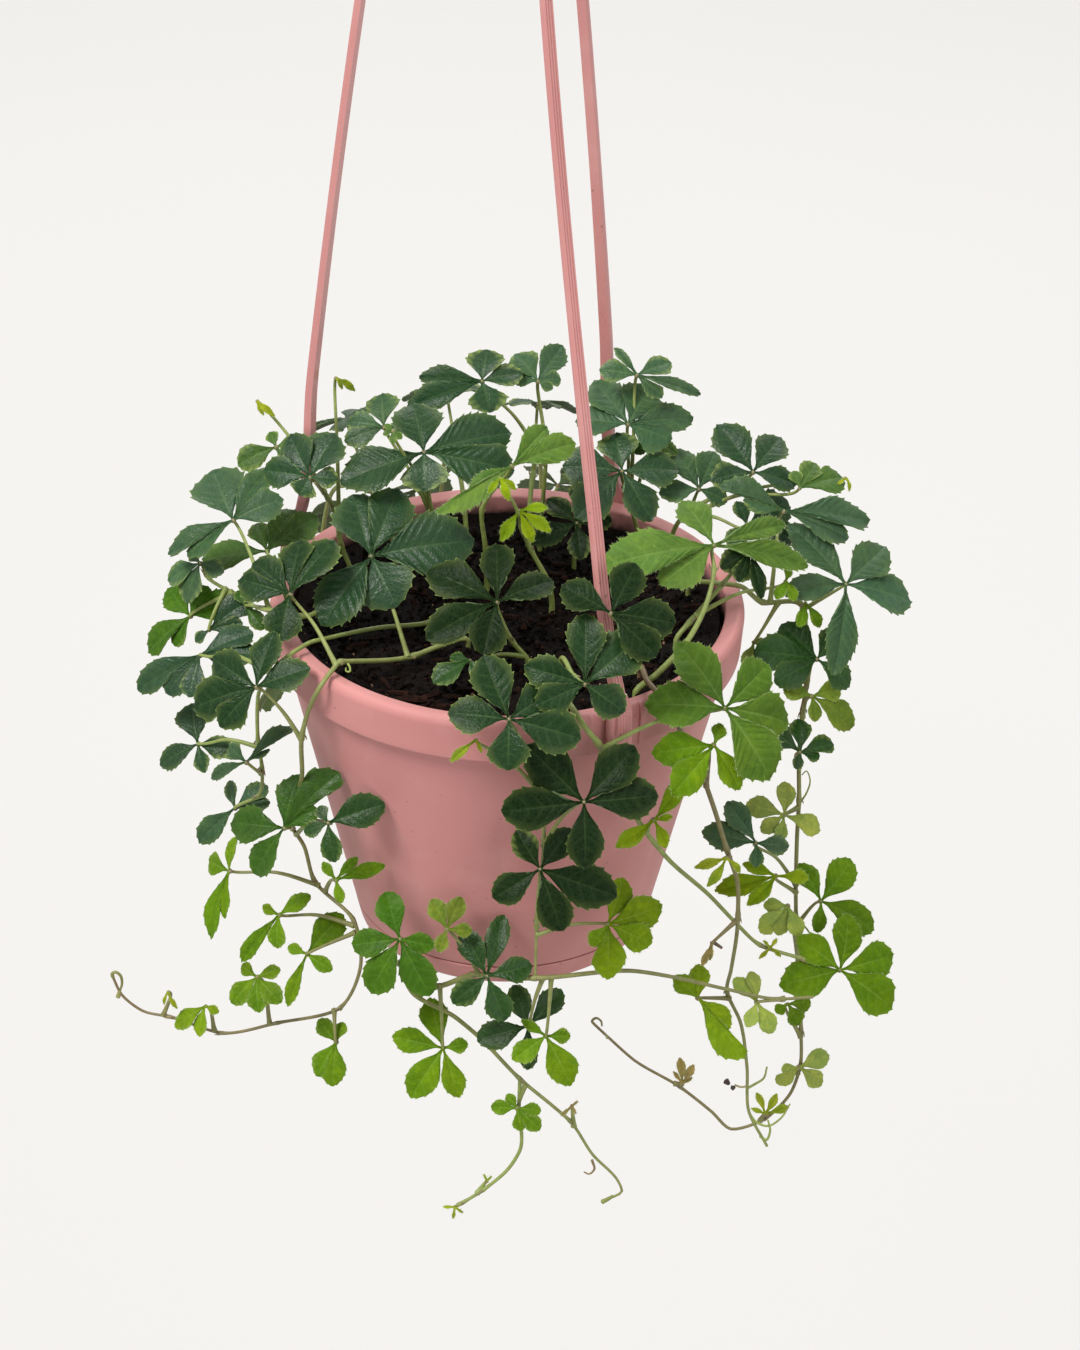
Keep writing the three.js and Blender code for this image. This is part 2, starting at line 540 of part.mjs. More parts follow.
// A petiole leaves the stem rising, and bends over to the hub. A short one is straight.
function petioleSolid(start, leaf) {
  const span = leaf.hub.distanceTo(start);
  const [knee, end] = kneeAndEnd(start, leaf);
  const bow = start.clone().lerp(knee, 0.5);
  bow.z += span * PETIOLE_RISE;
  const route = span < BENT_PETIOLE ? [start, knee, end] : [start, bow, knee, end];
  return rod(route, PETIOLE_RADIUS, PETIOLE_RADIUS / 2, STEM_SIDES);
}

// What stands in the soil goes straight down into its hole.
function rooted(route) {
  const foot = route[0];
  if (Math.hypot(foot.x, foot.y) > POT.rimInner || foot.z < SOIL.top) return route;
  const down = foot.clone().setZ(SOIL.top - STEM_HOLE.depth + STEM_HOLE.clear);
  return [down, foot.clone().setZ(SOIL.top), ...route];
}

// Petioles sprout from the stem one after another, beyond a point of its route or short of its last one.
function sproutAt(route, node, order) {
  const next = route[node + 1] || route[node - 1];
  const room = route[node].distanceTo(next);
  return route[node].clone().lerp(next, Math.min(SPROUT * (order + 1), 0.9 * room) / room);
}

function sightedLeaf([, u, v, depth, azimuth, elevation, ...tips]) {
  const hub = deep(u, v, depth);
  const normal = facing(azimuth, elevation);
  const onPlane = ([tu, tv]) => {
    const ray = sightLine(tu, tv);
    const reach = hub.clone().sub(eye).dot(normal) / ray.dot(normal);
    return eye.clone().addScaledVector(ray, reach);
  };
  return { hub, normal, tips: tips.map(onPlane), widths: tips.map(([, , width]) => width) };
}

// Where a stem would cut a corner of the pot's rim, it is led over that corner.
function overRim(route) {
  const corner = (from, to, radius, height) => {
    const inside = Math.hypot(from.x, from.y);
    const outside = Math.hypot(to.x, to.y);
    if (from.z < SOIL.top || inside > radius || outside < radius) return [];
    const at = from.clone().lerp(to, (radius - inside) / (outside - inside));
    return at.z > height ? [] : [at.setZ(height)];
  };
  return route.flatMap((point, i) => {
    if (i === 0) return [point];
    const inner = corner(route[i - 1], point, POT.rimInner - RIM_CLEARANCE, RIM_CLEARANCE);
    const outer = corner(route[i - 1], point, POT.rimRadius + RIM_CLEARANCE, 0);
    return [...inner, ...outer, point];
  });
}

// A leafy stem in one solid. The first leaf of the route's last point ends the stem: it needs no petiole.
function leafyStem(route, radius, leaves) {
  const last = route.length - 1;
  const ending = leaves.find(({ node }) => node === last);
  const tail = ending ? kneeAndEnd(route[last], ending) : [];
  const endRadius = ending ? PETIOLE_RADIUS / 2 : radius * STEM_TAPER;
  const pieces = [rod([...overRim(rooted(route)), ...tail], radius, endRadius, STEM_SIDES)];
  leaves.forEach((leaf, i) => {
    pieces.push(leafSolid(leaf));
    const earlier = leaves.slice(0, i).filter(({ node }) => node === leaf.node).length;
    if (leaf !== ending) pieces.push(petioleSolid(sproutAt(route, leaf.node, earlier), leaf));
  });
  return joined(pieces);
}

// Every stem with its branches is one solid.
function stemMeshes() {
  const solids = new Map();
  STEMS.forEach(([name, , radius, route, leaves, host = name]) => {
    const sighted = leaves.map((leaf) => ({ node: leaf[0], ...sightedLeaf(leaf) }));
    const solid = leafyStem(route, radius, sighted);
    solids.set(host, solids.has(host) ? solids.get(host).add(solid) : solid);
  });
  return [...solids].map(([name, solid]) => {
    const [, tone] = STEMS.find(([stem]) => stem === name);
    return meshFrom(name, solid, leafLook(TONES[tone]));
  });
}

// Behind the pot, stems of the same make rise from the soil and fall over the rim by a seeded rule.
function backRoute(azimuth, draw) {
  const turn = azimuth + (draw() - 0.5) * BACK_ROUTE.swing;
  const fall = BACK_ROUTE.fall + BACK_ROUTE.fallSpread * draw();
  return [
    polar(BACK_ROUTE.rootReach, turn, SOIL.top + STEM_LIFT),
    polar(BACK_ROUTE.crestReach, turn, BACK_ROUTE.crestHeight + BACK_ROUTE.crestSpread * draw()),
    polar(BACK_ROUTE.rimReach, turn, BACK_ROUTE.rimHeight),
    polar(BACK_ROUTE.outReach, turn, -BACK_ROUTE.outDrop),
    polar(BACK_ROUTE.endReach, turn + BACK_ROUTE.endTurn, -fall),
  ];
}

function palmTips(hub, normal, heading, size, draw) {
  const ahead = heading.clone().addScaledVector(normal, -heading.dot(normal)).normalize();
  return PALM.map(([angle, share]) => {
    const turned = ahead.clone().applyAxisAngle(normal, (angle + (draw() - 0.5) * 12) * RADIAN);
    return hub.clone().addScaledVector(turned, size * share * (0.92 + 0.16 * draw()));
  });
}

function backStemMesh(azimuth, order) {
  const draw = randomFrom(BACK_STEMS.seed + order);
  const route = backRoute(azimuth, draw);
  const leaves = [1, 3, 4].map((node, i) => {
    const crown = node === 1;
    const side = (i + order) % 2 === 0 ? 1 : -1;
    const lean = azimuth + (crown ? 0 : side * (14 + 10 * draw()));
    const hub = route[node].clone().add(polar(BACK_STEMS.reach + 6 * draw(), lean, crown ? 22 : 3));
    const normal = facing(lean, crown ? 62 : 30);
    const tips = palmTips(hub, normal, polar(1, lean, -0.3), BACK_STEMS.leafSize + 5 * draw(), draw);
    return { node, hub, normal, tips };
  });
  const solid = leafyStem(route, BACK_STEMS.radius, leaves);
  return meshFrom("back_stem_" + (order + 1), solid, leafLook(TONES.dark));
}

const pink = { color: 0xc88884, roughness: 0.45, metalness: 0 };

// A flute bows the wall in softly between two ridges, and fades out towards the rim and the foot.
function fluted(geometry) {
  const place = geometry.attributes.position;
  for (let i = 0; i < place.count; i++) {
    const x = place.getX(i);
    const y = place.getY(i);
    const depth = -place.getZ(i);
    const radius = Math.hypot(x, y);
    const onWall = radius > POT.footRadius - 6 && depth > POT.bandHeight && depth < POT.shoulder;
    if (!onWall) continue;
    const share = (depth - POT.bandHeight) / (POT.shoulder - POT.bandHeight);
    const wave = Math.abs(Math.sin((POT.fluteCount / 2) * Math.atan2(y, x)));
    const scale = 1 - (POT.fluteDepth * (1 - wave) * Math.sin(Math.PI * share)) / radius;
    place.setXY(i, x * scale, y * scale);
  }
  return geometry;
}

function latheUp(profile, sides) {
  const points = profile.map(([r, z]) => new THREE.Vector2(r, z));
  return new THREE.LatheGeometry(points, sides).rotateX(Math.PI / 2);
}

// Below its shoulder the pot steps in, and its base stands in the saucer just clear of it.
const BASE = -(POT.shoulder + SAUCER.height - SAUCER.floor - GAP);

function potSolid() {
  const slope = (POT.footRadius - POT.neckRadius) / (POT.shoulder - POT.bandHeight);
  const midRadius = POT.neckRadius + slope * (POT.midHeight - POT.bandHeight);
  const neck = POT.footRadius - SAUCER.wall - GAP;
  const profile = [
    [0, BASE],
    [neck - POT.baseBevel, BASE],
    [neck, -POT.shoulder + GAP],
    [POT.footRadius, -POT.shoulder + GAP],
    [midRadius, -POT.midHeight],
    [POT.neckRadius, -POT.bandHeight],
    [POT.bandFoot, -POT.bandHeight],
    [POT.rimRadius, -POT.rimEdge],
    [POT.rimRadius - POT.rimRound, 0],
    [POT.rimInner, -1],
    [POT.rimInner, -POT.bandHeight],
    [neck - POT.wall, -POT.shoulder + GAP],
    [neck - POT.wall - 1, BASE + POT.floor],
    [0, BASE + POT.floor],
  ];
  let pot = solidOf(fluted(latheUp(profile, POT.sides)));
  const pocketDepth = 2 * (POCKET.overreach + POCKET.depth);
  ARMS.forEach(([, azimuth]) => {
    const reach = POT.rimRadius + POCKET.overreach;
    const pocket = boxAt(azimuth, reach, -POT.bandHeight / 2, POCKET.width, pocketDepth, POCKET.height);
    pot = pot.subtract(pocket);
  });
  for (let i = 0; i < DRAIN.count; i++) {
    const centre = polar(DRAIN.circle, (360 * i) / DRAIN.count, BASE);
    pot = pot.subtract(post(centre, DRAIN.radius, DRAIN.sides, 2 * POT.floor + 2));
  }
  return pot;
}

function post(centre, radius, sides, height) {
  const cylinder = new THREE.CylinderGeometry(radius, radius, height, sides).rotateX(Math.PI / 2);
  return solidOf(cylinder.translate(centre.x, centre.y, centre.z));
}

// A box whose middle lies at the given reach, turned to face along its azimuth.
function boxAt(azimuth, reach, z, width, depth, height) {
  const box = new THREE.BoxGeometry(width, depth, height);
  box.translate(0, -reach, z);
  return solidOf(box.rotateZ(azimuth * RADIAN));
}

function saucerSolid() {
  const top = -POT.shoulder;
  const foot = top - SAUCER.height;
  const profile = [
    [0, foot],
    [SAUCER.footRadius, foot],
    [POT.footRadius, top],
    [POT.footRadius - SAUCER.wall, top],
    [SAUCER.footRadius - SAUCER.wall, foot + SAUCER.floor],
    [0, foot + SAUCER.floor],
  ];
  return solidOf(latheUp(profile, POT.sides));
}

// The soil is a plug of the pot's inside with a gently uneven top and a hole for each stem.
function soilSolid(roots) {
  const reach = POT.rimInner - SOIL.play;
  const bottom = BASE + POT.floor + GAP;
  const foot = POT.footRadius - SAUCER.wall - POT.wall - SOIL.shelf;
  const top = Array.from({ length: SOIL.rings }, (_, i) => [reach * (1 - i / SOIL.rings), SOIL.top]);
  const profile = [
    [0, bottom],
    [foot, bottom],
    [foot + SOIL.shelf / 2, bottom + SOIL.bevel],
    [reach, -POT.bandHeight - SOIL.shelf],
    ...top,
    [0, SOIL.top],
  ];
  const plug = latheUp(profile, SOIL.sides);
  const place = plug.attributes.position;
  for (let i = 0; i < place.count; i++) {
    if (Math.abs(place.getZ(i) - SOIL.top) > 0.01) continue;
    const swell = Math.sin(place.getX(i) * 0.21) * Math.cos(place.getY(i) * 0.17 + 1);
    place.setZ(i, SOIL.top + SOIL.swell * swell);
  }
  let soil = solidOf(plug);
  roots.forEach(({ foot: at, radius }) => {
    const centre = at.clone().setZ(SOIL.top + STEM_HOLE.above - STEM_HOLE.depth / 2);
    const height = STEM_HOLE.depth + 2 * STEM_HOLE.above;
    soil = soil.subtract(post(centre, radius + STEM_HOLE.play, STEM_HOLE.sides, height));
  });
  return soil;
}

// An arm's upright plane passes through the hub's axis. Away from the pocket it leans in to the hub in a bow.
function armRoute([, azimuth, reach, bow]) {
  const foot = polar(reach, azimuth, ARM.bendHeight);
  const outward = foot.clone().setX(foot.x - HUB.shift).setZ(0);
  const direction = outward.clone().normalize();
  const axis = new THREE.Vector3(HUB.shift, 0, HUB.bottom + HUB_SLOT.armLift);
  const top = axis.addScaledVector(direction, HUB.radius - HUB_SLOT.armInset);
  const leaning = [0, 0.14, 0.3, 0.5, 0.7, 0.86, 1].map((share) =>
    foot.clone().lerp(top, share).addScaledVector(direction, bow * 4 * share * (1 - share)),
  );
  const rising = [
    polar(POT.rimRadius + STRAP.depth, azimuth, -POT.bandHeight / 2),
    polar(POT.rimRadius + ARM.standOff, azimuth, RIM_CLEARANCE),
  ];
  return { points: [...rising, ...leaning], direction };
}

// An arm is a ribbed strap: flat behind, with two ribs and a groove in front, and it widens at the rim.
function armSolid(arm) {
  const { points, direction } = armRoute(arm);
  const half = ARM.width / 2;
  const section = [
    [-half, -ARM.depth / 2],
    [half, -ARM.depth / 2],
    [half * ARM.ribSpread, ARM.depth / 2],
    [0, ARM.depth / 2 - ARM.groove],
    [-half * ARM.ribSpread, ARM.depth / 2],
  ];
  const path = new THREE.CatmullRomCurve3(points, false, "centripetal");
  const sideways = new THREE.Vector3(direction.y, -direction.x, 0);
  const rings = points.map((_, i) => {
    const station = i / (points.length - 1);
    const outward = new THREE.Vector3().crossVectors(path.getTangent(station), sideways).normalize();
    return section.map(([w, d]) =>
      path.getPoint(station).addScaledVector(sideways, w).addScaledVector(outward, d),
    );
  });
  const middle = (STRAP.top + STRAP.bottom) / 2;
  const height = STRAP.top - STRAP.bottom;
  const strap = boxAt(arm[1], POT.rimRadius + STRAP.standOff, middle, STRAP.width, STRAP.depth, height);
  return loft(rings).add(strap);
}

// The hub is a small boss with a slot for each arm, and a round hook rises from it.
function hookSolid() {
  const profile = [
    [0, HUB.bottom],
    [HUB.radius, HUB.bottom],
    [HUB.radius, HUB.top - HUB.crown],
    [HUB.crown, HUB.top],
    [0, HUB.top],
  ];
  let hub = solidOf(latheUp(profile, HUB.sides));
  ARMS.forEach((arm) => {
    const { direction } = armRoute(arm);
    const azimuth = Math.atan2(direction.x, -direction.y) / RADIAN;
    const width = ARM.width + 2 * GAP;
    const middle = HUB.bottom + HUB_SLOT.lift;
    hub = hub.subtract(boxAt(azimuth, HUB.radius, middle, width, HUB_SLOT.depth, HUB_SLOT.height));
  });
  const centreZ = HOOK_SEAT + HOOK.wire - HOOK.radius;
  const points = [
    new THREE.Vector3(0, 0, HUB.top - HOOK.sunk),
    new THREE.Vector3(0, 0, centreZ - HOOK.radius - HOOK.sunk),
  ];
  for (let angle = HOOK.from; angle <= HOOK.to; angle += HOOK.step) {
    const a = angle * RADIAN;
    points.push(new THREE.Vector3(HOOK.radius * Math.cos(a), 0, centreZ + HOOK.radius * Math.sin(a)));
  }
  return hub.add(rod(points, HOOK.wire, HOOK.wire, HOOK.sides)).translate([HUB.shift, 0, 0]);
}

const plant = new THREE.Group();
plant.position.set(-HUB.shift, 0, -HOOK_SEAT);
plant.add(meshFrom("pot", potSolid(), pink));
plant.add(meshFrom("drip_saucer", saucerSolid(), pink));
ARMS.forEach((arm) => plant.add(meshFrom("hanger_arm_" + arm[0], armSolid(arm), pink)));
plant.add(meshFrom("hanger_hook", hookSolid(), pink));
plant.add(...stemMeshes());
BACK_STEMS.azimuths.forEach((azimuth, order) => plant.add(backStemMesh(azimuth, order)));
const rooting = STEMS.map(([, , radius, route]) => ({ foot: route[0], radius })).concat(
  BACK_STEMS.azimuths.map((azimuth, order) => ({
    foot: backRoute(azimuth, randomFrom(BACK_STEMS.seed + order))[0],
    radius: BACK_STEMS.radius,
  })),
);
const roots = rooting.filter(({ foot }) => Math.hypot(foot.x, foot.y) < POT.rimInner && foot.z > SOIL.top);
plant.add(meshFrom("soil", soilSolid(roots), { color: 0x2a211c, roughness: 0.95, metalness: 0 }));

export default plant;
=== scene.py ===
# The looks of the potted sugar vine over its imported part: fine leaves, stems, soil and moulded plastic.
# Lengths are millimetres, measured from the middle of the pot's rim, and become metres as a mesh is made.
import math

import bmesh
import bpy
import numpy as np
from mathutils import Matrix, Vector


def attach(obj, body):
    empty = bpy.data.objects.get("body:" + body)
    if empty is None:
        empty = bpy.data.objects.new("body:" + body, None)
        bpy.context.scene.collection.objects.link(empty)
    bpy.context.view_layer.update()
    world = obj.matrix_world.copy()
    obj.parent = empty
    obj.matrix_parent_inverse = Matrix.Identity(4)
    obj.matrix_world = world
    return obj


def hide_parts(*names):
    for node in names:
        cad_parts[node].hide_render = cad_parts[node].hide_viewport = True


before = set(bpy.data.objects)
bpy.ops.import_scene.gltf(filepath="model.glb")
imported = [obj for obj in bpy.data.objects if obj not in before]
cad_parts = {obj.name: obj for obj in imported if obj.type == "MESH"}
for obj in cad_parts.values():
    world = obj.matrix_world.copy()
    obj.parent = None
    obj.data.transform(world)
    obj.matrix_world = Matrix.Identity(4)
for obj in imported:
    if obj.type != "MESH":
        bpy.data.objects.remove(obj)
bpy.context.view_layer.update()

METRE = 0.001
# The gap between two pieces that fit together.
GAP = 0.3
POT = dict(
    rim_radius=75, rim_inner=68.8, rim_round=1.5, rim_edge=2, band_height=15, band_foot=74, neck_radius=70.6,
    foot_radius=48.7, base_bevel=1.6, wall=1.8, floor=2.2, mid_height=60, shoulder=108,
    flute_count=12, flute_depth=0.9, sides=288,
)
SAUCER = dict(height=7, foot_radius=47, wall=1.5, floor=1.5, sides=192)
DRAIN = dict(count=6, radius=1.7, circle=30, sides=24)
POT_BASE = -(POT["shoulder"] + SAUCER["height"] - SAUCER["floor"] - GAP)
SOIL = dict(
    top=-9.5, stem_foot=-22.5, play=1.6, shelf=3, bevel=3.5, rings=64, sides=200,
    bank=3.6, bank_start=52, bank_reach=15, crumbs=2600, chip_share=0.16, perlite=90, flakes=90, seed=5,
)
ARM = dict(width=4.2, depth=3, bend_height=12, stand_off=1.5, ribs=4, rib_depth=0.09, taper=0.19, step=6)
STRAP = dict(
    width=8.4, depth=2.2, ribs=3, foot=-15.5, head=2.5, stand_off=1.4,
    shoulder=5, rise=8.5, toe=1.4, toe_inset=0.9,
)
POCKET = dict(half_width=8, depth=1.2, rib=0.5, rib_edge=9.2)
HUB = dict(shift=-7, bottom=388, top=402, radius=10, crown=4, sides=72, grips=18, grip_depth=0.3)
HUB_SLOT = dict(arm_inset=2.5, arm_lift=4)
HOOK = dict(seat=436, wire=2.2, radius=15, sunk=3, sides=16)
# The middle of the pot's rim, as seen from the hook's seat.
HUNG = np.array([-HUB["shift"], 0.0, -HOOK["seat"]])
BACK_STEMS = dict(azimuths=[-135, -163, 173], radius=1.2, seed=11, leaf_size=15, reach=10)
BACK_ROUTE = dict(
    swing=6, root_reach=52, crest_reach=62, crest_height=10, crest_spread=5, rim_reach=80, rim_height=8,
    out_reach=88, out_drop=16, end_reach=85, end_turn=3, fall=40, fall_spread=60,
)

# Stems are slimmer than in the part's source, and taper to a share of their radius. One that lies on the soil
# has its middle a lift over the top. A petiole bows if it is long, bends at a knee under its leaf, and leaves
# the stem a little beyond the one before it. A step is the length between two rings of points.
STEM_LIFT = 3
STEM_SHARE = 0.74
STEM_END_SHARE = 0.5
STEM_STEP = 1.8
STEM_SLACK = 0.85
STEM_SIDES = 10
PETIOLE_STEP = 1.6
PETIOLE_SIDES = 8
PETIOLE_RADIUS = 0.72
BENT_PETIOLE = 22
KNEE = 2.4
SPROUT = 2.6
RIM_CLEARANCE = 2
JOINT_SWELL = 0.42
JOINT_REACH = 1.5

# A blade's thickness, its half width as a share of its own length and of the leaf's longest leaflet, how deep
# a grown one folds and droops, and the lengths from which it gets the finer grades of mesh.
BLADE = 0.34
WIDTH_SHARE = 0.265
WIDTH_REST = 0.03
FOLD = 0.14
DROOP = 0.12
LARGE_LEAF = 26
MIDDLE_LEAF = 14

# Each arm: its name, its azimuth, its distance from the pot's axis just above the rim, and its bow outwards.
ARMS = [("front", 27.4, 71.4, -9), ("left", -111.3, 72.6, 4.5), ("rear", 152.2, 72, 6)]

# The sight that the plant is set out by, and that the camera looks along.
SIGHT = dict(width=1080, height=1350, focal=4300, range=1371, pitch=31, roll=-1, aim_x=10.7, aim_z=-28)
PITCH = math.radians(SIGHT["pitch"])
ROLL = math.radians(SIGHT["roll"])
FORWARD = np.array([0.0, math.cos(PITCH), -math.sin(PITCH)])
RIGHTWARD = np.array([1.0, 0.0, 0.0])
UPWARD = np.cross(RIGHTWARD, FORWARD)
EYE = np.array([SIGHT["aim_x"], 0.0, SIGHT["aim_z"]]) - SIGHT["range"] * FORWARD


def sight_line(u, v):
    across = (u - SIGHT["width"] / 2) / SIGHT["focal"]
    up = (SIGHT["height"] / 2 - v) / SIGHT["focal"]
    c, s = math.cos(ROLL), math.sin(ROLL)
    return FORWARD + (c * across + s * up) * RIGHTWARD + (c * up - s * across) * UPWARD


# The point seen at (u, v) that lies at depth y, at height z, at distance r from the pot's axis, or just over
# the soil.
def deep(u, v, y):
    ray = sight_line(u, v)
    return EYE + ray * (y - EYE[1]) / ray[1]


def above(u, v, z):
    ray = sight_line(u, v)
    return EYE + ray * (z - EYE[2]) / ray[2]


def around(u, v, r):
    ray = sight_line(u, v)
    a = ray[0] ** 2 + ray[1] ** 2
    b = 2 * (EYE[0] * ray[0] + EYE[1] * ray[1])
    c = EYE[0] ** 2 + EYE[1] ** 2 - r**2
    return EYE + ray * (-b - math.sqrt(b * b - 4 * a * c)) / (2 * a)


def lying(u, v):
    return above(u, v, SOIL["top"] + STEM_LIFT)


